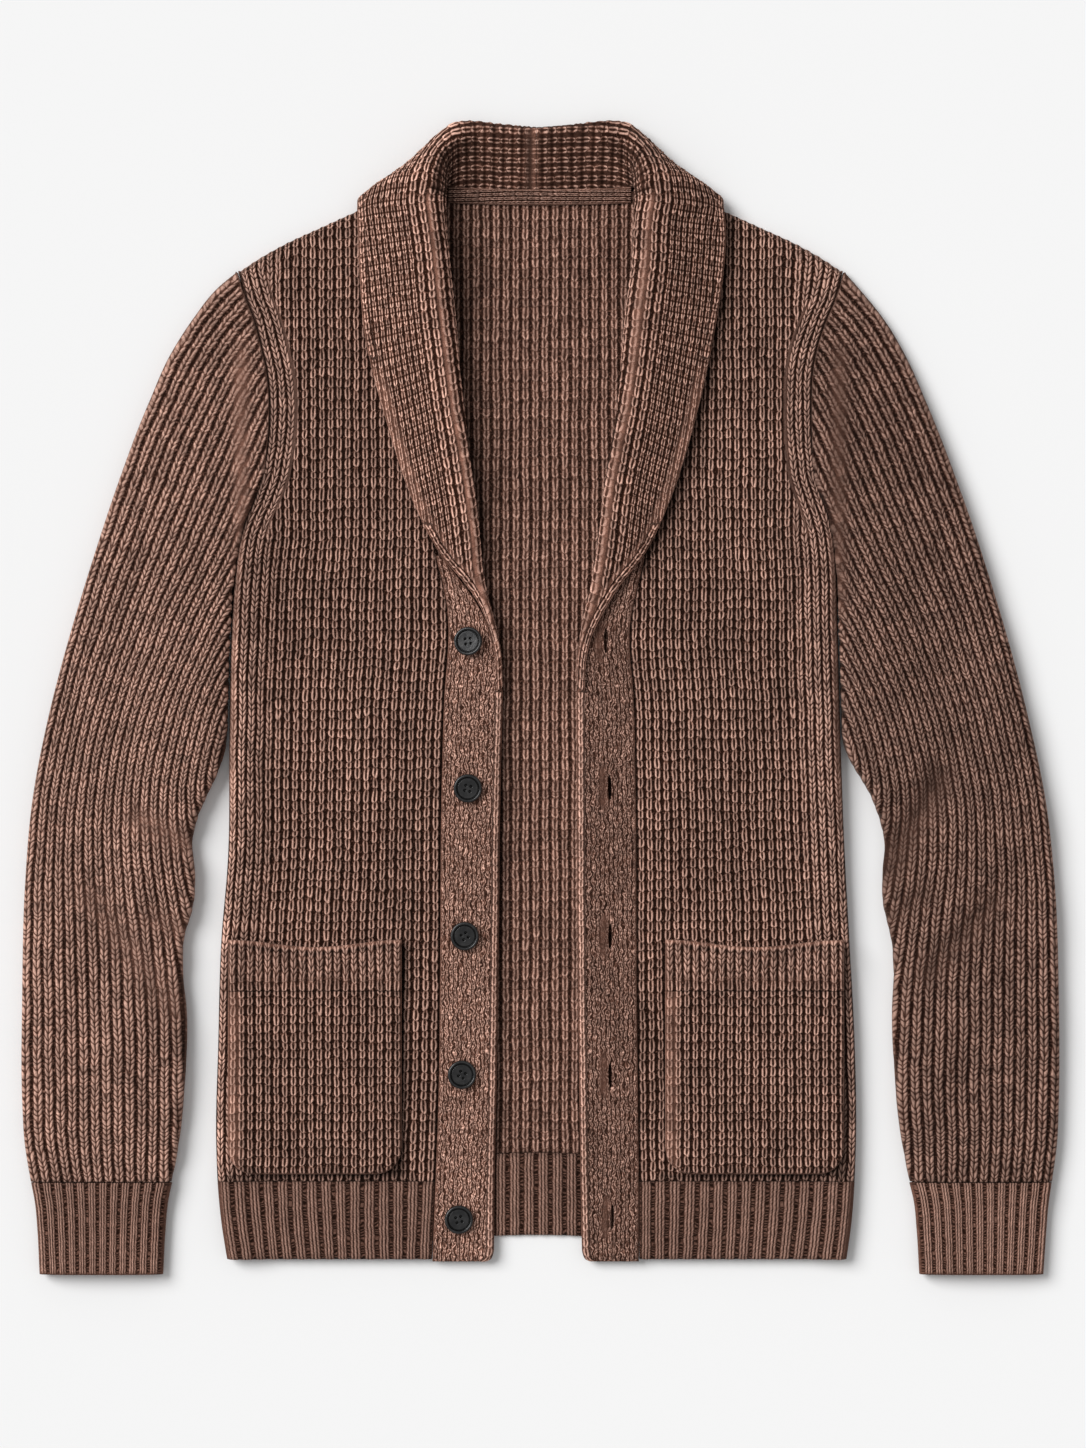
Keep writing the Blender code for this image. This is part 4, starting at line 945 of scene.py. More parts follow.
def front_plan(side):
    """Plan of a front: ribs run up parallel to the band and the side; above the arm
    the outer ones follow the armhole, and the rest are cut off beside them.

    Returns x, y, stitch places and the relief, squeezed where ribs are cut off.
    """
    columns = np.linspace(0, 1, FRONT_RIBS * FINE_ACROSS + 1)[None, :]
    level = np.linspace(HEM_SEAM + SEAM_GAP / 2, LEVEL_TOP, row_count(LEVEL_TOP) + 1)[:, None]
    outer = np.where(level > UNDERARM, edge[side](UNDERARM), edge[side](level))
    seam = band_seam[side](level)
    inner = np.where(level > BAND_BEND, band_seam[side](BAND_BEND), seam) + SEAM_GAP / 2
    straight = mix(outer, inner, columns)
    cut_in = np.maximum(outer - edge[side](level), 0)
    from_outer = outer - straight
    zone = 0.8 + 0.05 * cut_in
    ratio = zone / (cut_in + zone)
    squeezed = outer - cut_in - KEPT_RIBS - (from_outer - KEPT_RIBS) * ratio
    in_zone = (from_outer > KEPT_RIBS) & (from_outer < KEPT_RIBS + cut_in + zone)
    out = np.where(from_outer <= KEPT_RIBS, outer - cut_in - from_outer,
                   np.where(in_zone, squeezed, straight))
    relief = np.where(in_zone, ratio, 1.0)
    least = seam + SEAM_GAP / 2 + 3.0 * (1 - columns) * (level > BAND_BEND)
    out = np.maximum(out, np.minimum(least, straight + 50))
    out = out + np.maximum(edge[side](level) - outer, 0) * smooth(1 - from_outer / 40)
    top = shoulder_line(out)
    stretch = np.where(top > LEVEL_TOP, (top - STRETCH_FROM) / (LEVEL_TOP - STRETCH_FROM), 1.0)
    y = np.where(level > STRETCH_FROM, STRETCH_FROM + (level - STRETCH_FROM) * stretch,
                 level + 0 * out)
    y, _ = pressed(y, top, LEVEL_TOP, 3.0)
    u = (1 - columns) * FRONT_RIBS + 0 * y
    v = (level - HEM_SEAM) / BODY_ROW + 0 * y
    return side * out, y, u, v, relief


def front_relief(x, y):
    """Smoother cloth on the rounded side edge beside the sleeve."""
    away = inward(x, y)
    beside_sleeve = 0.7 * fade((away - 2.5) / 3.0) * side_open(y) * smooth((y + 120) / 90)
    at_seam = np.maximum(smooth(away / 1.2), 0.8 * smooth((y - 262) / 8))
    return (1 - beside_sleeve) * mix(at_seam, 1.0, side_open(y))


def pocket_shade(side, x, y):
    """Painted shadow just outside a pocket, most below it and on its side away from
    the lamp.
    """
    inner, outer = POCKET[side]
    beyond = np.maximum(inner - np.abs(x), np.abs(x) - outer)
    under = np.maximum(POCKET_LOW - y, 0)
    away = np.hypot(np.maximum(beyond, 0), under)
    depth = np.where((x > side * (inner + outer) / 2) | (under > 0), 0.72, 0.2)
    return 1 - depth * bump(away / 4.0) * (y < POCKET_MOUTH - POCKET_SAG - 1)


def front_painted_light_and_tone(side, x, y):
    """Painted shade along the seams and painted shadow beside the pocket and the
    collar's free edge; a painted highlight on the lit side edge; slow uneven tone.
    """
    away = inward(x, y)
    tone = 1 - 0.28 * bump((np.abs(x) - band_seam[side](y)) / 2.2)
    tone = tone * (1 - 0.25 * bump((y - HEM_SEAM) / 2.5))
    tone = tone * (1 - 0.30 * bump(away / 2.0) * (y > 112))
    tone = tone * pocket_shade(side, x, y)
    # Painted shadow cast by the collar's free edge onto the front, broader on the wearer's left.
    depth, reach = COLLAR_SHADE[side]
    shade = depth * bump((np.abs(x) - edge_line[side](y)) / reach)
    tone = tone * (1 - shade * smooth((y - 15) / 20))
    tone = tone * (1 + 0.09 * wander(0.5 * x, 0.3 * y, 35 + side))
    # Painted highlight on the rounded side edge of the wearer's right front, towards the lamp.
    return tone * (1 + 0.5 * bump((away - 3) / 7) * smooth((60 - y) / 20) * (side < 0))


def make_front(side):
    """A front: ribs of links beside the band, of strokes towards the side."""
    x, y, u, v, relief = front_plan(side)
    relief = relief * front_relief(x, y)
    u = u + 0.05 * wander(x, y, 11 + side)
    v = v + 0.16 * wander(x, y, 21 + side)
    loop = fade((u - STROKES_FROM + 0.8 * wander(x, y, 25)) / 2.5)
    ends = smooth((y - HEM_SEAM) / 2.0)
    lift = RELIEF * (chain(u, v, loop) - RELIEF_MEAN) * relief * ends
    folds = 0.6 * wander(x, 0.45 * y, 31 + side) * ends * smooth((np.abs(x) - 75) / 12)
    high = front_top(x, y) + np.maximum(lift, DEEPEST) + folds * relief
    low = front_low(x, y)
    tone = front_painted_light_and_tone(side, x, y) * (0.55 + 0.45 * smooth(relief / 0.5))
    scallop = 0.5 * cosine(u - 0.5) - 0.3
    y = y + scallop * fade((shoulder_line(np.abs(x)) - y) / 5.0)
    panel("front_" + SIDE_NAME[side], "wool_body", x, y, high, low, (COARSE_UP, FINE_ACROSS),
          (u, v), (relief, loop, tone), WOOL_BODY)


def back_plan(rows, seam_lift):
    """Plan of the back, its middle finely divided where it shows in the front opening."""
    half = BACK_FINE_HALF
    fine = int(round(2 * half / BACK_RIB)) * FINE_ACROSS
    inside = np.linspace(-half, half, fine + 1)
    t = np.linspace(0, 1, BACK_SIDE_STEPS + 1)
    levels = rows[:, None]
    right = mix(-edge[RIGHT](levels), -half, t[None, :-1])
    left = mix(half, edge[LEFT](levels), t[None, 1:])
    x = np.concatenate([right, np.broadcast_to(inside, (len(rows), fine + 1)), left], axis=1)
    place = (x + edge[RIGHT](levels)) / (edge[RIGHT](levels) + edge[LEFT](levels))
    return x, levels + seam_lift * (0.5 - 0.5 * cosine(place))


def make_back():
    """The back, seen in the front opening only; its seam with the hem rib curves up."""
    rows = np.linspace(HEM_SEAM + SEAM_GAP / 2, NECK_POINT, row_count(NECK_POINT) + 1)
    place = (rows - HEM_SEAM) / (SHOULDER_TIP - HEM_SEAM)
    x, y = back_plan(rows, BACK_SEAM_LIFT * fade(place / 0.5)[:, None])
    v = (y - HEM_SEAM) / BODY_ROW
    out = np.abs(x)
    dip = (NECK_POINT - BACK_NECK) * (1 - np.clip(out / NECK_HALF, 0, 1) ** 2)
    top = np.where(out < NECK_HALF, NECK_POINT - dip, shoulder_line(out))
    y, over = pressed(y, top, NECK_POINT, 4.0)
    u = x / BACK_RIB + 0.05 * wander(x, y, 41)
    v = v + 0.15 * wander(x, y, 42)
    shown = fade((out - SHOWN_HALF) / 4)
    relief = np.where(over > 0, 0.4, 1.0) * smooth(inward(x, y) / 3.0)
    lift = 1.1 * (chain(u, v, 0.7) - 0.5) * relief * shown * smooth((y - y[0]) / 2.0)
    # Painted shadow cast onto the back by the wearer's right band and collar roll, broader under
    # the roll; painted shade along the hem seam.
    rim = -np.where(y > -2, roll_line[RIGHT](y), band_free[RIGHT](y))
    shade = 0.5 * bump((x - rim) / mix(9, 24, smooth(y / 200)))
    tone = (1 - 0.25 * bump((y - y[0]) / 2.5)) * (1 - shade)
    panel("back", "wool_body", x, y, back_top(x, y) + np.maximum(lift, -1.0), back_low(x, y),
          (4, 2), (u, v), (relief, 0.7, tone), WOOL_BACK)


def make_front_hem(side):
    """The 2x2 rib below a front."""
    columns = np.linspace(0, 1, HEM_PERIODS * 12 + 1)[None, :]
    level = np.linspace(HEM_LOW, HEM_SEAM - SEAM_GAP / 2, HEM_STEPS)[:, None]
    seam = band_seam[side](level) + SEAM_GAP / 2
    x = side * mix(edge[side](level), seam, columns)
    y = level + 0 * x
    u = columns * HEM_PERIODS + 0 * y + 0.05 * wander(1.6 * x, 0.5 * y, 51 + side)
    v = (y - HEM_LOW) / RIB_ROW + 0.12 * wander(x, y, 61 + side)
    relief = smooth((inward(x, y) - 1.0) / 3.0) * smooth((np.abs(x) - seam) / 1.5 + 0.3)
    lift = 1.3 * (two_by_two(u, v) - 0.5) * relief * smooth((HEM_SEAM - y) / 2.0)
    high = front_top(x, y) + np.maximum(lift, -1.2) - 1.6 * fade((y - HEM_LOW) / 3.0)
    low = front_low(x, y)
    # Painted shade along the seams with the front and the band.
    tone = (1 - 0.3 * bump((y - HEM_SEAM) / 2.0)) * (1 - 0.25 * bump((np.abs(x) - seam) / 2.0))
    scallop = 0.1 * cosine(u - 0.5)
    y = y - scallop * fade((y - HEM_LOW) / 6)
    panel("hem_rib_" + SIDE_NAME[side], "wool_rib", x, y, high, low, (4, 6), (u, v),
          (relief, RIB_LOOK, tone), WOOL_RIB)


def make_back_hem():
    """The 2x2 rib below the back, higher in the middle."""
    rows = np.linspace(HEM_LOW, HEM_SEAM - SEAM_GAP / 2, HEM_STEPS)
    place = (rows - HEM_LOW) / (HEM_SEAM - HEM_LOW)
    x, y = back_plan(rows, mix(BACK_HEM_LIFT, BACK_SEAM_LIFT, place)[:, None])
    level = rows[:, None] + 0 * x
    u = x / HEM_PERIOD + 0.3
    v = (level - HEM_LOW) / RIB_ROW
    relief = smooth(inward(x, y) / 3.0)
    shown = fade((np.abs(x) - SHOWN_HALF) / 4)
    lift = np.maximum(1.5 * (two_by_two(u, v) - 0.6), DEEPEST) * relief * shown
    high = back_top(x, y) + lift * smooth((HEM_SEAM - level) / 2.0) \
        - 1.2 * fade((level - HEM_LOW) / 3.0)
    # Painted shade along the seam with the back.
    tone = 1 - 0.3 * bump((level - HEM_SEAM) / 2.0)
    panel("hem_rib_back", "wool_rib", x, y, high, back_low(x, y), (4, 2), (u, v),
          (relief, RIB_LOOK, tone), WOOL_RIB)


# --- bands ------------------------------------------------------------------

BAND_TOP = 96.0
EDGE_END = 4.0
# Each band's tone, raised on the wearer's right band, on the lamp's side, as painted light.
BAND_TONE_AND_PAINTED_LIGHT = {RIGHT: 1.55, LEFT: 1.04}
EDGE_TONE = 1.35
SLIT_CORNERS = 24


def slit_distance(x, y):
    """Distance from the nearest buttonhole's middle line, and which side of it: + is outer."""
    nearest = np.full(np.shape(x), 99.0)
    beside = np.zeros(np.shape(x))
    for sx, sy, lean in zip(*BUTTONHOLES.values()):
        turn = math.radians(lean)
        dx, dy = x - sx, y - sy
        across = dx * math.cos(turn) + dy * math.sin(turn)
        along = -dx * math.sin(turn) + dy * math.cos(turn)
        past = np.maximum(np.abs(along) - SLIT_LENGTH / 2, 0)
        away = np.hypot(across, past)
        beside = np.where(away < nearest, across, beside)
        nearest = np.minimum(away, nearest)
    return nearest, beside


def band_edges(side, y):
    """The free edge, with its rounded lower corner, and the seam of a band."""
    free = np.where(y < EDGE_END, band_free[side](y), band_cut(y))
    corner = 4.5 * (1 - quarter((y - BAND_LOW) / 9.0))
    return free + corner, band_seam[side](y) - SEAM_GAP


def band_look(side, x, y):
    """Stitch places, looks and extra height of a band at plan points."""
    free, seam = band_edges(side, y)
    from_free, from_seam = np.abs(x) - free, seam - np.abs(x)
    v = (y + 0.4 * wander(x, y, 75 + side)) / BAND_ROW
    edge_column = ((from_free < EDGE_LINK_WIDTH) & (y < EDGE_END)) * 1.0
    u = np.where(edge_column > 0.5, from_free, from_seam) / BAND_COLUMN
    relief = smooth(from_seam / 1.5) * smooth(from_free / 1.0)
    begun = smooth((EDGE_END - y) / 14)
    # Painted shade along the seam and in the groove beside the edge column.
    tone = 1 - 0.30 * bump(from_seam / 1.6) \
        - 0.25 * bump((from_free - EDGE_LINK_WIDTH) / 0.8) * begun
    tone = tone * mix(BAND_TONE_AND_PAINTED_LIGHT[side], EDGE_TONE, edge_column * mix(0.35, 1.0, begun))
    lift = 0.25 * wander(2.2 * x, 1.4 * y, 77 + side)
    crown = np.sin(np.pi * np.clip(from_free / EDGE_LINK_WIDTH, 0, 1))
    lift = lift + 0.5 * begun * edge_column * crown
    if side == LEFT:
        away, beside = slit_distance(x, y)
        rim = bump((away - 2.4) / 1.2) * smooth((beside + 0.4) / 0.8)
        patch = bump((beside + 4.8) / 3.2) * fade((away - 6.0) / 3.0)
        lift = lift + 0.5 * rim - 0.3 * patch
        relief = relief * (1 - 0.75 * patch)
        tone = tone * (1 - 0.3 * patch) * (1 + 0.2 * rim)
    return (u, v), (relief, edge_column, tone), lift


def make_band(side, node):
    """A front band: close pitted columns, a column of links along its free edge, and
    its upper end cut on the slant under the collar."""
    rows = np.linspace(BAND_LOW, BAND_TOP, 497)[:, None]
    free, seam = band_edges(side, rows)
    x = side * mix(free, seam, np.linspace(0, 1, 53)[None, :])
    y = rows + 0 * x
    places, looks, lift = band_look(side, x, y)
    rounded = mix(FRONT_TOP - 2.2, FRONT_TOP, quarter((np.abs(x) - free) / 3.5))
    base = np.where(y < EDGE_END, rounded, FRONT_TOP)
    base = base + lift * fade(y / 8) * smooth((seam - np.abs(x)) / 2.0)
    high = base - 1.4 * fade((y - BAND_LOW) / 3.0)
    panel(node, "wool_band", x, y, high, FRONT_LOW, (8, 4), places, looks, WOOL_BAND,
          cut=cut_slits if side == LEFT else None)


def slit_cutter():
    """Upright prisms in the shape of the buttonholes, as one object."""
    shape = bmesh.new()
    angle = np.linspace(0, 2 * np.pi, SLIT_CORNERS, endpoint=False)
    dx, dy = 0.5 * SLIT_WIDTH * np.cos(angle), 0.5 * SLIT_LENGTH * np.sin(angle)
    for x, y, lean in zip(*BUTTONHOLES.values()):
        turn = math.radians(lean)
        px = x + dx * math.cos(turn) - dy * math.sin(turn)
        py = y + dx * math.sin(turn) + dy * math.cos(turn)
        lower, upper = ([shape.verts.new((a * MM, b * MM, height * MM)) for a, b in zip(px, py)]
                        for height in (2, 12))
        shape.faces.new(lower[::-1])
        shape.faces.new(upper)
        for i in range(SLIT_CORNERS):
            j = (i + 1) % SLIT_CORNERS
            shape.faces.new((lower[i], lower[j], upper[j], upper[i]))
    mesh = bpy.data.meshes.new("slits")
    shape.to_mesh(mesh)
    shape.free()
    return in_scene("slits", mesh)


def cut_slits(band):
    """Cuts the buttonholes through the band as narrow lenses, closes what the cut
    leaves open and gives every point its look again."""
    cutter = slit_cutter()
    modifier = band.modifiers.new("slits", "BOOLEAN")
    modifier.operation = "DIFFERENCE"
    modifier.solver = "EXACT"
    modifier.object = cutter
    bpy.context.view_layer.update()
    cut = bpy.data.meshes.new_from_object(
        band.evaluated_get(bpy.context.evaluated_depsgraph_get()))
    band.modifiers.clear()
    shape = bmesh.new()
    shape.from_mesh(cut)
    bmesh.ops.holes_fill(shape, edges=[e for e in shape.edges if e.is_boundary], sides=0)
    bmesh.ops.recalc_face_normals(shape, faces=shape.faces)
    shape.to_mesh(cut)
    shape.free()
    band.data = cut
    bpy.data.objects.remove(cutter)
    points = np.empty(3 * len(cut.vertices), np.float32)
    cut.vertices.foreach_get("co", points)
    places, looks, _ = band_look(LEFT, points[0::3] / MM, points[1::3] / MM)
    set_look(cut, stacked(*places), stacked(*looks))
    cut.materials.clear()
    cut.materials.append(WOOL_BAND)


# --- pockets ----------------------------------------------------------------

# Strength of the painted highlight along each pocket's edge towards the lamp.
POCKET_LIT = {RIGHT: 0.8, LEFT: 0.5}
POCKET_EDGE = 1.2
POCKET_LINKS = 1.4
RIM_LINKS = 1.5
RIM_ROW = 7.0


def pocket_walls(side, x, y, rounded_below):
    """Lower and upper height of a pocket's layer, thin and rounded at its edges."""
    inner, outer = POCKET[side]
    off = POCKET_OFF + MOUTH_OPEN * smooth((y - (POCKET_MOUTH - 30)) / 30)
    low = front_top(x, y) + off
    near = np.minimum(np.abs(x) - inner, outer - np.abs(x))
    wall = mix(POCKET_EDGE, POCKET_WALL, quarter(near / POCKET_ROUND))
    if rounded_below:
        end = mix(POCKET_EDGE, POCKET_WALL, quarter((y - y[0]) / POCKET_ROUND))
        wall = np.minimum(wall, end)
    return low, low + wall, near


def pocket_plan(side, low, high, rows, columns):
    """Plan of a pocket piece between a low and a high line."""
    inner, outer = POCKET[side]
    s = np.linspace(0, 1, columns)[None, :]
    t = np.linspace(0, 1, rows)[:, None]
    return side * (mix(inner, outer, s) + 0 * t), mix(low(s), high(s), t)


def make_pocket(side):
    """A patch pocket with rounded lower corners, with a painted highlight along its
    edge towards the lamp.
    """
    inner, outer = POCKET[side]

    def low_line(s):
        near = np.minimum(s, 1 - s)
        return POCKET_LOW + POCKET_CORNER * (1 - quarter(near * (outer - inner) / POCKET_CORNER))

    x, y = pocket_plan(side, low_line, lambda s: RIM_LOW + 0 * s, 89, 115)
    low, high, near = pocket_walls(side, x, y, True)
    near = np.minimum(near, y - y[0])
    u = (np.abs(x) - inner) / POCKET_RIB + 0.04 * wander(x, y, 81 + side)
    v = (y - POCKET_LOW) / POCKET_ROW + 0.12 * wander(x, y, 83 + side)
    relief = smooth((near - 0.2) / 1.2)
    lift = POCKET_LINKS * (chain(u, v, 1.0) - 0.58) * relief * smooth((RIM_LOW - y) / 1.0)
    # Painted highlight along the edge towards the lamp; painted shade inside the edges and along
    # the rim's seam.
    lit = bump((x - x.min() - 4.0) / 4.5)
    tone = 1 - 0.2 * bump((near - 3.6) / 1.3) - 0.25 * bump((RIM_LOW - y) / 2.0) \
        + POCKET_LIT[side] * lit
    panel("pocket_" + SIDE_NAME[side], "wool_pocket", x, y, high + np.maximum(lift, -1.0), low,
          (8, 6), (u, v), (relief * (1 - 0.5 * lit), 1.0, tone), WOOL_POCKET)


def make_pocket_rim(side):
    """The rim along a pocket's mouth: links that turn into plain ribs, a row of dark
    holes and a bound edge, all sagging a little in the middle."""
    inner, outer = POCKET[side]

    def mouth(s):
        return POCKET_MOUTH - POCKET_SAG * np.sin(np.pi * s) ** 2

    x, y = pocket_plan(side, lambda s: RIM_LOW + SEAM_GAP + 0 * s, mouth, 33, 133)
    low, high, near = pocket_walls(side, x, y, False)
    below = mouth((np.abs(x) - inner) / (outer - inner)) - y
    u = (np.abs(x) - inner) / POCKET_RIB + 0.04 * wander(x, y, 81 + side)
    v = (y - RIM_LOW) / RIM_ROW + 0.1 * wander(x, y, 93 + side)
    relief = smooth((near - 0.2) / 1.5)
    plain = smooth((y - RIM_LOW - 4) / 8)
    height = mix(chain(u, v, 1.0), 0.85 * np.sin(np.pi * (u % 1)), plain)
    lift = np.maximum(RIM_LINKS * (height - 0.5) * relief, DEEPEST)
    bound = (0.4 + 0.25 * cosine(u)) * bump((below - 1.6) / 1.3)
    high = high + lift * smooth((below - 1.5) / 2.5) + bound - 1.2 * (1 - quarter(below / 1.6))
    # Painted shade in the row of holes below the bound edge; the bound edge lighter.
    holes = (0.5 + 0.5 * cosine(u)) ** 2
    tone = 1 - (0.2 + 0.45 * holes) * bump((below - 4.2) / 1.5) + 0.4 * bump((below - 1.4) / 1.3)
    relief = relief * (0.5 + 0.5 * smooth((below - 1.0) / 2.0))
    panel("pocket_rim_" + SIDE_NAME[side], "wool_rib", x, y, high, low, (4, 6), (u, v),
          (relief, 1 - 0.9 * plain, tone), WOOL_RIM)


# --- sleeves and cuffs ------------------------------------------------------

UPPER_POWER = 3.0
LOWER_POWER = 8.0
SLEEVE_STEPS = (8, 8)
SLEEVE_GRID = (384, 112)
CUFF_STEPS = (6, 6)
CUFF_GRID = (48, 120)
CUFF_PERIODS = 12.5
CUFF_TONE = 1.27
# Painted light by side: the wearer's left sleeve, away from the lamp, darker; the ridge beside
# the body painted lit on the right and shaded on the left; painted shade in the creases.
SLEEVE_PAINTED_LIGHT = {RIGHT: 1.03, LEFT: 0.68}
RIDGE_PAINTED_LIGHT = {RIGHT: 0.18, LEFT: -0.15}
CREASE_PAINTED_SHADE = {RIGHT: 0.03, LEFT: 0.1}
RIDGE_AT = 202.5
SEAM_SIDES = 8


def crease(x, y, side):
    """Depth of the creases at plan points, each a soft trough along a line."""
    depth = np.zeros_like(x)
    for on, x1, y1, x2, y2, width, deep in zip(*CREASE.values()):
        if on == side:
            px, py = np.abs(x) - x1, y - y1
            dx, dy = x2 - x1, y2 - y1
            t = np.clip((px * dx + py * dy) / (dx * dx + dy * dy), 0, 1)
            depth += deep * bump(np.hypot(px - t * dx, py - t * dy) / width)
    return depth


def round_section(across, power):
    """Height of half a flattened tube's section, from 0 through 1 to 0."""
    return (1 - np.abs(2 * across - 1) ** power) ** (1 / power)


def beside(line, y, wall):
    """Half a wall's thickness, measured level across a slanting fold."""
    slope = (line(y + 2) - line(y - 2)) / 4
    return wall / 2 * np.sqrt(1 + slope**2)


def tube_sheets(side, across, y_outer, y_inner, top, fold, wall, near, begun, bow):
    """Upper and lower middle sheets of a flattened tube, outer fold to inner fold."""
    outer = outer_fold[side](y_outer) - beside(outer_fold[side], y_outer, wall)
    inner = inner_fold[side](y_inner) + beside(inner_fold[side], y_inner, wall) + near
    out = mix(outer[:, None], inner[:, None], across) - bow
    y = mix(y_outer[:, None], y_inner[:, None], across)
    upright = np.maximum(
        smooth((across - 0.75) / 0.2) * begun[:, None],
        0.4 * smooth((across - 0.6) / 0.2) + 0.6 * smooth((across - 0.8) / 0.12))
    clear = near[:, None] * (1 + 0.25 * begun[:, None]) + wall / 2 * upright
    clear = clear + smooth((0.14 - across) / 0.1)
    out = np.where(y < SHOULDER_TIP, np.maximum(out, edge[side](y) + clear), out)
    x = side * out
    rounded = round_section(across, UPPER_POWER)
    upper = fold[:, None] + (top - wall / 2 - fold)[:, None] * rounded
    upper = upper - crease(x, y, side) * rounded
    lower = fold[:, None] - (fold - wall / 2)[:, None] * round_section(across, LOWER_POWER)
    return stacked(x, y, upper), stacked(x, y, lower)


def armhole_bow(side, along, across, wall):
    """How far the sleeve's first rows bow in to follow the armhole."""
    y = mix(SLEEVE_TOP, UNDERARM, across)
    outer = outer_fold[side](SLEEVE_TOP) - beside(outer_fold[side], SLEEVE_TOP, wall)
    inner = inner_fold[side](UNDERARM) + beside(inner_fold[side], UNDERARM, wall) + ARMHOLE_GAP
    bow = mix(outer, inner, across) - edge[side](y) - ARMHOLE_GAP
    ends = smooth(across / 0.03) * smooth((1 - across) / 0.03)
    return bow * mix(ends, 1, across < 0.5) * fade(along / 0.4)


def ring_normals(ring):
    """Unit normals of a closed ring grid, columns crossed with rows."""
    along = np.gradient(ring, axis=0)
    across = np.roll(ring, -1, axis=1) - np.roll(ring, 1, axis=1)
    return unit(np.cross(across, along))


def tube_wall(node, slot, side, upper, lower, wall, steps, lift, places, looks, finish):
    """Makes a node's closed tube wall: fine upper sheet, coarse lower sheet, inner wall.

    upper and lower are middle sheets on the same fine grid; lift is the stitches'
    height over the upper one, and steps are the fine steps down and across in one
    coarse step.
    """
    down, across = steps
    columns = upper.shape[1]
    back = slice(-2, 0, -1)
    ring = np.concatenate([upper, lower[:, back]], axis=1)
    normals = side * ring_normals(ring)
    outer = ring + normals * wall / 2
    outer[..., 2] = np.maximum(outer[..., 2], 0.0)
    out = np.abs(ring[..., 0])
    near = np.minimum(out - out.min(axis=1, keepdims=True), out.max(axis=1, keepdims=True) - out)
    thin = FOLD_THINNING * fade(near / FOLD_THIN_REACH)
    inner = ring - normals * (wall / 2 - thin)[..., None]
    fine = outer[:, :columns] + normals[:, :columns] * lift[..., None]
    rough = outer[::down, columns - 1 + across::across]
    inside = inner[::down, ::across]

    def numbered(grid, first):
        return first + np.arange(grid.shape[0] * grid.shape[1]).reshape(grid.shape[:2])

    fine_id = numbered(fine, 0)
    rough_id = numbered(rough, fine_id.size)
    inside_id = numbered(inside, fine_id.size + rough_id.size)
    upper_steps = (columns - 1) // across
    groups = [quads(fine_id), quads(rough_id), quads(inside_id, closed=True)[:, ::-1],
              side_strip(fine_id[::-1, -1], rough_id[::-1, 0], down)[:, ::-1],
              side_strip(fine_id[:, 0], rough_id[:, -1], down)[:, ::-1]]
    for row, turned in ((0, False), (-1, True)):
        fine_edge, inner_edge = fine_id[row], inside_id[row]
        ring_outer = np.concatenate([fine_edge[-1:], rough_id[row], fine_edge[:1]])
        ring_inner = np.concatenate([inner_edge[upper_steps:], inner_edge[:1]])
        strips = [side_strip(fine_edge, inner_edge[:upper_steps + 1], across),
                  side_strip(ring_outer, ring_inner, 1)]
        groups += [s[:, ::-1] if turned else s for s in strips]
    if side < 0:
        groups = [g[:, ::-1] for g in groups]

    def spread(grid):
        """Values of the upper sheet for all the points: fine, lower and inside."""
        size = grid.shape[-1]
        mirrored = grid[:, back]
        ringed = np.concatenate([grid, mirrored], axis=1)[::down, ::across]
        return np.vstack([grid.reshape(-1, size),
                          mirrored[::down, across - 1::across].reshape(-1, size),
                          ringed.reshape(-1, size)])

    points = np.vstack([grid.reshape(-1, 3) for grid in (fine, rough, inside)])
    made = fill_mesh(node + "_knit", points, groups, spread(stacked(*places)),
                     spread(stacked(*looks)), finish)
    keep(made, slot, node)


def tube_columns(steps, share):
    """Places across a tube, closer at the folds the larger the share."""
    even = np.linspace(0, 1, steps + 1)[None, :]
    return mix(even, (1 - np.cos(np.pi * even)) / 2, share)


SLEEVE_PITCH = table(
    "y pitch",
    (290, 12.0), (260, 10.0), (220, 8.7), (150, 8.0), (107, 7.6), (50, 6.8), (-15, 6.15),
    (-60, 6.1), (-110, 6.6), (-160, 7.3), (-206, 7.7), (-300, 7.6), (-330, 7.2))
sleeve_pitch = curve(SLEEVE_PITCH["y"], SLEEVE_PITCH["pitch"])


def sleeve_places(side, x, y):
    """Stitch places on a sleeve: ribs counted from the outer fold and fanning out
    towards the armhole, and rows counted along the fold."""
    levels = np.linspace(-400, 300, 701)
    line = outer_fold[side](levels)
    length = np.concatenate([[0], np.cumsum(np.hypot(np.diff(line), np.diff(levels)))])
    slope = (outer_fold[side](y + 6) - outer_fold[side](y - 6)) / 12
    slope = np.where(y > 255, np.maximum(slope, -0.8), slope)
    gap = outer_fold[side](y) - np.abs(x)
    along = np.interp(y, levels, length) - gap * slope / np.sqrt(1 + slope**2)
    return gap / sleeve_pitch(y), along / SLEEVE_ROW


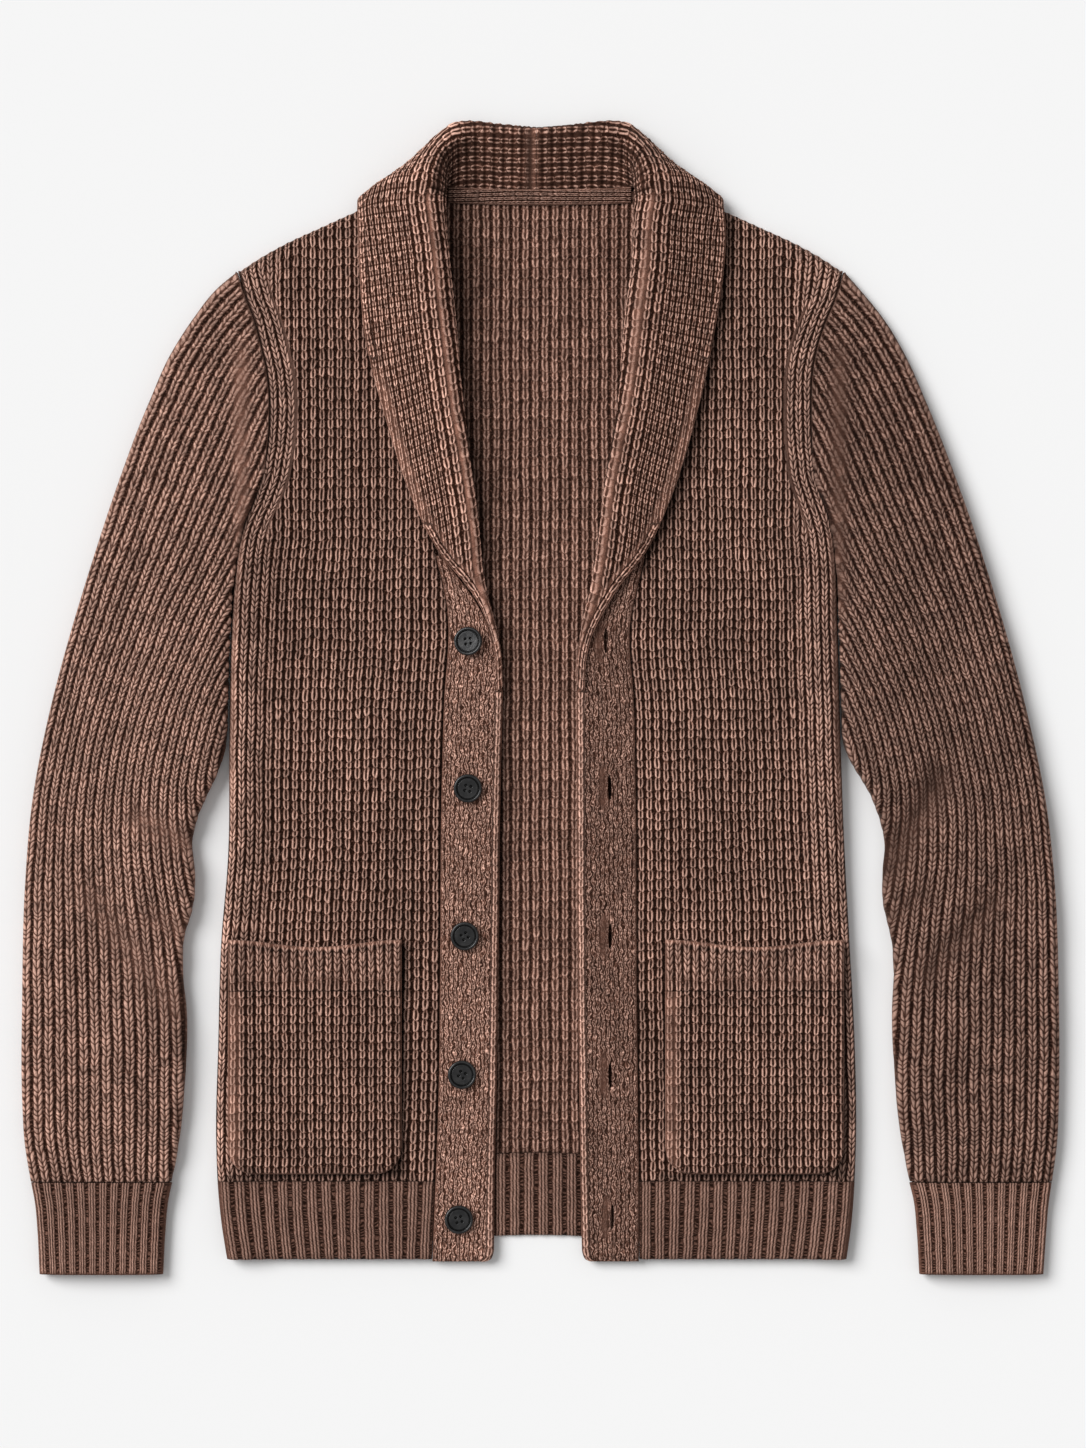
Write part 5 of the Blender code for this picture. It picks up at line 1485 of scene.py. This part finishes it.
def make_sleeve(side):
    """A flattened sleeve, with a soft ridge beside the body and its elbow's creases."""
    along = np.linspace(0, 1, SLEEVE_GRID[0] + 1)
    across = tube_columns(SLEEVE_GRID[1], 0.25)
    low_end = CUFF_SEAM + SEAM_GAP / 2
    upper, lower = tube_sheets(
        side, across, mix(SLEEVE_TOP, low_end, along), mix(UNDERARM, low_end, along),
        sleeve_top(along), sleeve_fold(along), KNIT, np.full_like(along, 0.35),
        smooth(along / 0.03), armhole_bow(side, along[:, None], across, KNIT))
    along = along[:, None]
    x, y = upper[..., 0], upper[..., 1]
    u, v = sleeve_places(side, x, y)
    u = u + 0.05 * wander(x, y, 101 + side)
    v = v + 0.15 * wander(x, y, 103 + side)
    ridge = bump((np.abs(x) - RIDGE_AT) / 5.5) * smooth((y - 40) / 30) * fade((y - 222) / 30)
    folded = crease(x, y, side)
    fold = np.minimum(across, 1 - across) * 100
    relief = smooth((fold + 0.3) / 0.8) * smooth(along / 0.003)
    relief = relief * (1 - 0.7 * ridge) * (1 - 0.13 * folded)
    loop = mix(0.12, 0.5, smooth((y - 60) / 120))
    lift = np.maximum(1.5 * (chain(u, v, loop) - 0.56), DEEPEST) * relief
    swell = 1.1 * wander(x, 0.6 * y, 107 + side) * round_section(across, UPPER_POWER)
    upper[..., 2] += 0.9 * ridge + swell * smooth(along / 0.1)
    from_seam = np.abs(x) - edge[side](y)
    # Painted light and shade: highlight on the right sleeve's ridge, the body's shadow beside
    # the left one, shade along the armhole seam, in the creases and at the cuff seam.
    tone = 1 + RIDGE_PAINTED_LIGHT[side] * ridge - 0.35 * bump((from_seam - 0.5) / 1.8) * (y > 100)
    tone = tone * SLEEVE_PAINTED_LIGHT[side] * (1 - CREASE_PAINTED_SHADE[side] * folded)
    tone = tone * (1 + 0.10 * wander(0.6 * x, 0.35 * y, 109 + side))
    tone = tone * (1 - 0.3 * bump((1 - along) / 0.004))
    tube_wall("sleeve_" + SIDE_NAME[side], "wool_sleeve", side, upper, lower, KNIT,
              SLEEVE_STEPS, lift, (u, v), (relief, loop, tone), WOOL_SLEEVE)


def make_armhole_seam(side):
    """The armhole's seam: flat oval sections carried up the armhole, filling the gap
    between front and sleeve."""
    y = np.linspace(UNDERARM + 1, SLEEVE_TOP + 1.4, 145)[:, None]
    turn = np.linspace(0, 2 * np.pi, SEAM_SIDES + 1)[None, :-1]
    size = smooth((y - UNDERARM) / 8)
    out = edge[side](y) + ARMHOLE_GAP / 2 + mix(0.4, 0.8, smooth((y - 262) / 20)) * np.cos(turn)
    height = mix(6.2, 4.6, smooth((y - 270) / 18)) + mix(0.3, 1.5, size) * np.sin(turn)
    ring = stacked(side * out, y, height)
    index = np.arange(y.size * SEAM_SIDES).reshape(-1, SEAM_SIDES)
    groups = [quads(index, closed=True), index[:1, ::-1], index[-1:]]
    if side > 0:
        groups = [g[:, ::-1] for g in groups]
    places = stacked(0.5 + 0 * out, y / 3.0)
    # Its tone of 0.75 is painted shade in the seam's gap.
    looks = stacked(0.5 + 0 * out, 1.0, 0.75)
    made = fill_mesh("armhole_seam_%s_yarn" % SIDE_NAME[side], ring.reshape(-1, 3), groups,
                     places.reshape(-1, 2), looks.reshape(-1, 3), WOOL_SLEEVE)
    keep(made, "wool_sleeve")


def make_cuff(side):
    """The 2x2 rib cuff below a sleeve, a flattened tube too."""
    along = np.linspace(0, 1, CUFF_GRID[0] + 1)
    across = tube_columns(CUFF_GRID[1], 0.5)
    level = mix(CUFF_SEAM - 2 * SEAM_GAP, CUFF_LOW, along)
    drawn_in = smooth(along * 2.5)
    upper, lower = tube_sheets(
        side, across, level, level, mix(sleeve_top(1.0), CUFF_TOP, drawn_in),
        mix(sleeve_fold(1.0), CUFF_FOLD, drawn_in), CUFF_KNIT, 0 * along, 0 * along, 0.0)
    along = along[:, None]
    x, y = upper[..., 0], upper[..., 1]
    outer, inner = outer_fold[side](y), inner_fold[side](y)
    u = (outer - np.abs(x)) / (outer - inner) * CUFF_PERIODS + 0.03 * wander(x, y, 111 + side)
    v = (y - CUFF_LOW) / RIB_ROW + 0.1 * wander(x, y, 113 + side)
    relief = smooth(np.minimum(across, 1 - across) * 60) * smooth((1 - along) / 0.05 + 0.2)
    lift = np.maximum(1.6 * (two_by_two(u, v) - 0.58), DEEPEST) * relief * smooth(along / 0.03)
    # Painted shade along the seam with the sleeve.
    tone = CUFF_TONE - 0.3 * bump(along / 0.03)
    tube_wall("cuff_" + SIDE_NAME[side], "wool_rib", side, upper, lower, CUFF_KNIT,
              CUFF_STEPS, lift, (u, v), (relief, RIB_LOOK, tone), WOOL_RIB)


# --- collar and neck tape ---------------------------------------------------

COLLAR_GRID = (289, 97)
COLLAR_STEPS = (8, 4)
COLLAR_EVEN_ROWS = 105
ROLL_WIDTH = {RIGHT: 2.4, LEFT: 2.7}
# Each half's tone, raised on the wearer's right half, on the lamp's side, as painted light.
COLLAR_TONE_AND_PAINTED_LIGHT = {RIGHT: 1.62, LEFT: 1.28}
TAPE_SEAT = 0.5
TAPE_SLANT = 1.3


def front_knots(side):
    """Six points across the collar for each row of its front stretch."""
    rows = COLLAR_ROWS
    roll = np.stack([roll_line[side](rows["roll"]), rows["roll"]], axis=-1)
    free = np.stack([edge_line[side](rows["edge"]), rows["edge"]], axis=-1)
    wall = rows["wall"]
    length = np.linalg.norm(free - roll, axis=-1)
    heading = (free - roll) / length[:, None]
    foot_y = rows["roll"]
    for _ in range(6):
        reach = (collar_foot(foot_y) - roll[:, 0]) / heading[:, 0]
        foot_y = roll[:, 1] + reach * heading[:, 1]
    low = FRONT_LOW + wall / 2 + neck_lift(roll[:, 0], roll[:, 1])
    land = front_top(side * free[:, 0], free[:, 1]) + FALL_GAP + wall / 2
    high = np.maximum(rows["crest"] - wall / 2, land + 0.1)
    turned = wall / 2 + np.minimum((high - low) / 2, 0.25 * length)
    reaches = np.stack([reach, wall / 2 + 0 * reach, turned, mix(turned, length, 0.4),
                        mix(turned, length, 0.75), length], axis=1)
    heights = np.stack([low, mix(low, high, 0.5), high, mix(high, land, 0.28),
                        mix(high, land, 0.68), land], axis=1)
    plan = roll[:, None, :] + heading[:, None, :] * reaches[..., None]
    return np.concatenate([plan, heights[..., None]], axis=-1)


def back_knots():
    """Six points across the collar for each row behind the neck, read from the table."""
    places = ("foot", "up", "crest", "fold", "under", "edge")
    return np.stack([np.stack([COLLAR_BACK[f"{place}_{axis}"] for axis in "xyz"], axis=-1)
                     for place in places], axis=1)


def through(knots, at):
    """Points along smooth curves through each row's knots, by length from 0 to 1."""
    chord = np.linalg.norm(np.diff(knots, axis=1), axis=-1)
    key = np.concatenate([np.zeros((len(knots), 1)), np.cumsum(chord, axis=1)], axis=1)
    total = key[:, -1:].copy()
    key /= total
    slope = np.empty_like(knots)
    slope[:, 1:-1] = (knots[:, 2:] - knots[:, :-2]) / (key[:, 2:] - key[:, :-2])[..., None]
    slope[:, 0] = (knots[:, 1] - knots[:, 0]) / key[:, 1:2]
    slope[:, -1] = (knots[:, -1] - knots[:, -2]) / (key[:, -1:] - key[:, -2:-1])
    i = (at[None, :, None] >= key[:, None, 1:-1]).sum(axis=-1)
    rows = np.arange(len(knots))[:, None]
    width = (key[rows, i + 1] - key[rows, i])[..., None]
    t = (at[None, :] - key[rows, i])[..., None] / width
    points = between(t, width, knots[rows, i], knots[rows, i + 1], slope[rows, i],
                     slope[rows, i + 1])
    return points, key[:, 2:3] * total, total


def collar_middle(side, rows, columns):
    """The middle sheet of half the collar, its thickness, the place along it of each
    row, and each row's length up to the roll and in all."""
    knots = np.concatenate([front_knots(side), back_knots()])
    key = np.linalg.norm(np.diff(knots[:, 2], axis=0), axis=-1)
    key = np.concatenate([[0], np.cumsum(key)])
    count = COLLAR_EVEN_ROWS
    coarse = np.interp(np.linspace(0, len(key) - 1, count), np.arange(len(key)), key)
    even = np.linspace(0, key[-1], count)
    at = np.interp(np.linspace(0, count - 1, rows), np.arange(count), mix(coarse, even, 0.75))
    flat = knots.reshape(len(knots), -1)
    fine = np.stack([curve(key, column)(at) for column in flat.T], axis=-1)
    fine = fine.reshape(rows, *knots.shape[1:])
    walls = np.append(COLLAR_ROWS["wall"], np.full(len(COLLAR_BACK["foot_x"]), KNIT))
    middle, crest_at, total = through(fine, np.linspace(0, 1, columns))
    x, y, z = (middle[..., i] for i in range(3))
    centre = COLLAR_CENTRE * smooth(1 - x / 60) * smooth((y - 200) / 90)
    x[:] = side * x + centre
    meets = fade((np.abs(x - COLLAR_CENTRE) - 0.5) / 3)
    x -= side * 0.38 * meets * (y > 300)
    z[:] = np.maximum(z, KNIT / 2)
    wall = np.broadcast_to(curve(key, walls)(at)[:, None], (rows, columns))
    return middle, wall, at[:, None], crest_at, total


def make_collar(side):
    """Half the shawl collar.  Columns run parallel to the roll: a smooth one on it,
    three broad ones beside it, then fine ones out to the selvedge along the free edge."""
    middle, wall, along, crest_at, total = collar_middle(side, *COLLAR_GRID)
    share = np.linspace(0, 1, COLLAR_GRID[1])[None, :]
    across = share * total - crest_at
    to_edge = total * (1 - share)
    x, y = middle[..., 0], middle[..., 1]
    at_back = smooth((y - 332) / 12)
    from_middle = np.abs(x - COLLAR_CENTRE)

    roll_width = ROLL_WIDTH[side] + (side > 0) * 1.8 * bump((y - 262) / 32)
    past = across - roll_width * 0.4 * (1 - at_back)
    broad_end = 2 * COLLAR_BROAD
    at_tip = (fade((y - 105) / 25) + smooth((y - 215) / 30)) * (to_edge < EDGE_LINK_WIDTH)
    u = np.where(past > broad_end, 2 + (past - broad_end) / COLLAR_COLUMN, past / COLLAR_BROAD)
    u = u + 0.08 * wander(across, along, 121 + side)
    u = np.where(at_tip > 0.5, to_edge / EDGE_LINK_WIDTH, u)
    v = along / COLLAR_ROW + 0.12 * wander(across, along, 123 + side)

    on_roll = bump(across / (0.62 * roll_width)) * (1 - at_back) * smooth((y - 20) / 60)
    before_back = fade((y - 205) / 30)
    selvedge = fade((to_edge - 7.4) / 1.6) * before_back
    middle_seam = at_back * (across < 5)
    ridge = bump((x + 3.1) / 2.3) * middle_seam
    valley = bump((x + 7.2) / 2.6) * middle_seam
    relief = (1 - 0.8 * on_roll) * mix(1 - 0.35 * selvedge, 1, at_tip)
    relief = relief * (1 - 0.7 * valley) * (1 - 0.3 * ridge)
    relief = relief * smooth((share * total) / 2.0) * smooth(to_edge / 1.0)

    stand = smooth(-past / 3)
    dotted = at_back * smooth((16 - past) / 4)
    dotted = dotted * np.maximum(stand, fade((from_middle - 42) / 10))
    crossed = smooth((past - broad_end + 1) / 2) * (1 - 0.5 * selvedge)
    crossed = mix(crossed, 2, dotted)
    line = bump((v % 1 - 0.5) / mix(CROSS_HALF, DOT_HALF, np.clip(crossed - 1, 0, 1)))
    height = chain(u, v, COLLAR_LOOP) * (1 - 0.55 * crossed * line)
    lift = 1.1 * (height - 0.55) * relief * np.minimum(wall / KNIT, 1)
    lift = lift + 0.45 * on_roll + 0.3 * bump((to_edge - 2.2) / 1.6) \
        * (0.6 + 0.4 * np.abs(np.sin(np.pi * along / 4.6)))
    groove = bump((to_edge - 8.2) / 1.2) * before_back
    lift = lift - 0.35 * groove
    lift = lift + 1.3 * ridge - 0.9 * valley

    # Painted shade in the groove inside the selvedge, in the valley by the back's middle seam,
    # along the foot and over the stand, deepest on its part over the wearer's right; the roll,
    # edge column and ridge a little lighter.
    tone = 1 + 0.1 * on_roll - 0.25 * groove
    tone = tone + 0.10 * bump((to_edge - 3.5) / 2.5) - 0.75 * valley + 0.3 * ridge
    tone = tone * mix(0.8, 1, smooth(share * total / 4.0)) * COLLAR_TONE_AND_PAINTED_LIGHT[side]
    tone = tone * (1 - 0.25 * dotted * mix(1, 2, stand * smooth((-x - 25) / 30)))

    normals = side * normals_of(middle)
    inner = middle - normals * wall[..., None] / 2
    outer = middle + normals * wall[..., None] / 2
    outer = outer + normals * np.maximum(lift, DEEPEST)[..., None]
    name = "collar_" + SIDE_NAME[side]
    made = cloth_wall(name + "_knit", outer, inner, *COLLAR_STEPS, stacked(u, v),
                      stacked(relief, crossed, tone), WOOL_COLLAR, side < 0)
    keep(made, "wool_collar", name)


def make_tape():
    """The strip over the back neck's seam, a little crowned and higher at its ends."""
    s = np.linspace(-1, 1, 161)[None, :]
    t = np.linspace(0, 1, 17)[:, None]
    x = TAPE_CENTRE + TAPE_HALF * s + 0 * t
    y = mix(TAPE_LOW, TAPE_HIGH, t) + TAPE_END_RISE * s**2
    low = FRONT_TOP + TAPE_SEAT + TAPE_SLANT * t
    u = (y - TAPE_LOW) / 2.7 + 0.3 * wander(x, y, 131)
    v = x / 4.2 + 0.4 * wander(x, y, 133)
    relief = smooth(np.minimum(t, 1 - t) / 0.15)
    lift = 0.35 * (chain(u, v, 0.6) - 0.5) * relief
    high = low + TAPE_KNIT + lift + 0.35 * np.sin(np.pi * t) - 0.2
    # Painted shade along the lower edge, and painted shadow of the collar roll at the end on the
    # wearer's right.
    tone = (1 - 0.25 * bump((t - 0.08) / 0.05)) * (1 - 0.45 * bump((x + 62) / 26))
    panel("neck_tape", "neck_tape", x, y, high, low, (4, 4), (u, v), (relief, 0.6, tone),
          WOOL_TAPE)


# --- buttons ----------------------------------------------------------------

# The tone column is painted: painted shade in the groove, the outer side darker, the rim full.
BUTTON_PROFILE = table(
    "out up tone",
    (6.80, 3.05, 1.0), (7.00, 2.55, 0.2), (7.30, 2.40, 0.1), (7.52, 2.60, 0.1),
    (7.66, 3.30, 0.3), (7.85, 3.85, 0.8), (8.20, 4.12, 1.0), (8.60, 4.20, 1.0),
    (9.05, 4.08, 0.9), (9.38, 3.75, 0.7), (9.62, 3.30, 0.5), (9.73, 2.80, 0.4),
    (9.70, 2.25, 0.3), (9.50, 1.70, 0.3), (9.10, 1.15, 0.3), (8.40, 0.50, 0.3),
    (7.20, 0.04, 0.3), (4.00, 0.00, 0.3))
BUTTON_BASE = 7.2
BUTTON_SEAT = 0.3
BUTTON_SIDES = 96
FACE_RINGS = 27
FACE_RING_WIDTH = 0.245
FACE_EDGE = 3.1
FACE_DISH = 0.2
FACE_REACH = 6.6
FACE_MIDDLE = 2.78
# The first button's face, tilted up towards the lamp, is painted lighter.
FACE_PAINTED_LIGHT = {1: 2.2}
HOLE_AT = 1.75
HOLE_DEPTH = 2.2


def make_button(number, x, y, tilt_x, tilt_y, turn):
    """A turned disc: a dished face sunk between a groove and a round rim, with four
    holes for the thread."""
    face = np.arange(1, FACE_RINGS + 1) * FACE_RING_WIDTH
    dished = FACE_EDGE - FACE_DISH * (1 - (face / FACE_REACH) ** 2)
    lit = 0 * face + FACE_PAINTED_LIGHT.get(number, 1.0)
    out, up, tone = (np.concatenate([inside, BUTTON_PROFILE[key]])[:, None]
                     for inside, key in ((face, "out"), (dished, "up"), (lit, "tone")))
    angle = np.linspace(0, 2 * np.pi, BUTTON_SIDES + 1)[None, :-1]
    px, py = out * np.cos(angle), out * np.sin(angle)
    from_hole = np.hypot(np.abs(px) - HOLE_AT, np.abs(py) - HOLE_AT)
    on_face = (np.arange(len(out)) < FACE_RINGS)[:, None]
    up = up - HOLE_DEPTH * fade((from_hole - 0.7) / 0.3) * on_face
    index = np.arange(px.size).reshape(px.shape)
    ahead = np.roll(index, -1, axis=1)
    centre = np.full(BUTTON_SIDES, px.size)
    groups = [quads(index, closed=True)[:, ::-1],
              np.stack([centre, index[0], ahead[0]], axis=1),
              np.stack([centre + 1, ahead[-1], index[-1]], axis=1)]
    points = np.vstack([stacked(px, py, up).reshape(-1, 3), [[0, 0, FACE_MIDDLE], [0, 0, 0]]])
    tilt = Euler([math.radians(a) for a in (tilt_x, tilt_y, turn)]).to_matrix()
    lean = math.radians(abs(tilt_x) + abs(tilt_y))
    seat = FRONT_TOP + BUTTON_SEAT + BUTTON_BASE * math.sin(lean)
    points = points @ np.array(tilt).T + (x, y, seat)
    # Painted shade in the four holes.
    tone = tone * np.where((from_hole < 0.85) & (out < 5), 0.1, 1.0)
    looks = np.vstack([stacked(0 * px, 0 * px, tone).reshape(-1, 3), [[0, 0, 1.0], [0, 0, 0.3]]])
    made = fill_mesh(f"button_{number}_horn", points, groups, 0 * points[:, :2], looks, HORN)
    keep(made, "button_horn", f"button_{number}")


# --- stage ------------------------------------------------------------------

VIEW_CENTRE = (1.7, -18.0)
VIEW_HEIGHT = 984.6
LENS = 100.0
SENSOR = 36.0
FLOOR_SIZE = 40.0
WORLD_LIGHT = 0.43
KEY_LIGHT = 3.0
KEY_SIZE = math.radians(36)
KEY_HEADING = (0.80, -0.50, -0.85)


def make_stage():
    """White paper to lie on, an even light with one broad lamp, and the camera above."""
    scene = bpy.context.scene
    bpy.ops.mesh.primitive_plane_add(size=FLOOR_SIZE)
    floor = bpy.context.object
    floor.name = "floor"
    paper = new_finish("white_paper", Base_Color=(0.86, 0.86, 0.86, 1), Roughness=0.9,
                       Specular_IOR_Level=0.1)[0]
    floor.data.materials.append(paper)
    world = bpy.data.worlds.new("studio")
    world.use_nodes = True
    background = world.node_tree.nodes["Background"].inputs
    background["Color"].default_value = (1, 1, 1, 1)
    background["Strength"].default_value = WORLD_LIGHT
    scene.world = world
    key = bpy.data.lights.new("key", "SUN")
    key.energy = KEY_LIGHT
    key.angle = KEY_SIZE
    lamp = in_scene("key", key)
    lamp.rotation_euler = Vector(KEY_HEADING).to_track_quat("-Z", "Y").to_euler()
    camera = bpy.data.cameras.new("camera")
    camera.lens = LENS
    camera.sensor_width = SENSOR
    camera.clip_end = 50
    scene.camera = in_scene("camera", camera)
    distance = VIEW_HEIGHT * LENS / SENSOR
    scene.camera.location = [at * MM for at in (*VIEW_CENTRE, distance)]
    scene.view_settings.view_transform = "Standard"


make_back()
make_back_hem()
for side in SIDES:
    for make in (make_front, make_front_hem, make_sleeve, make_armhole_seam, make_cuff,
                 make_collar, make_pocket, make_pocket_rim):
        make(side)
make_tape()
make_band(RIGHT, "button_band")
make_band(LEFT, "buttonhole_band")
for number, row in enumerate(zip(*BUTTONS.values()), start=1):
    make_button(number, *row)

make_stage()
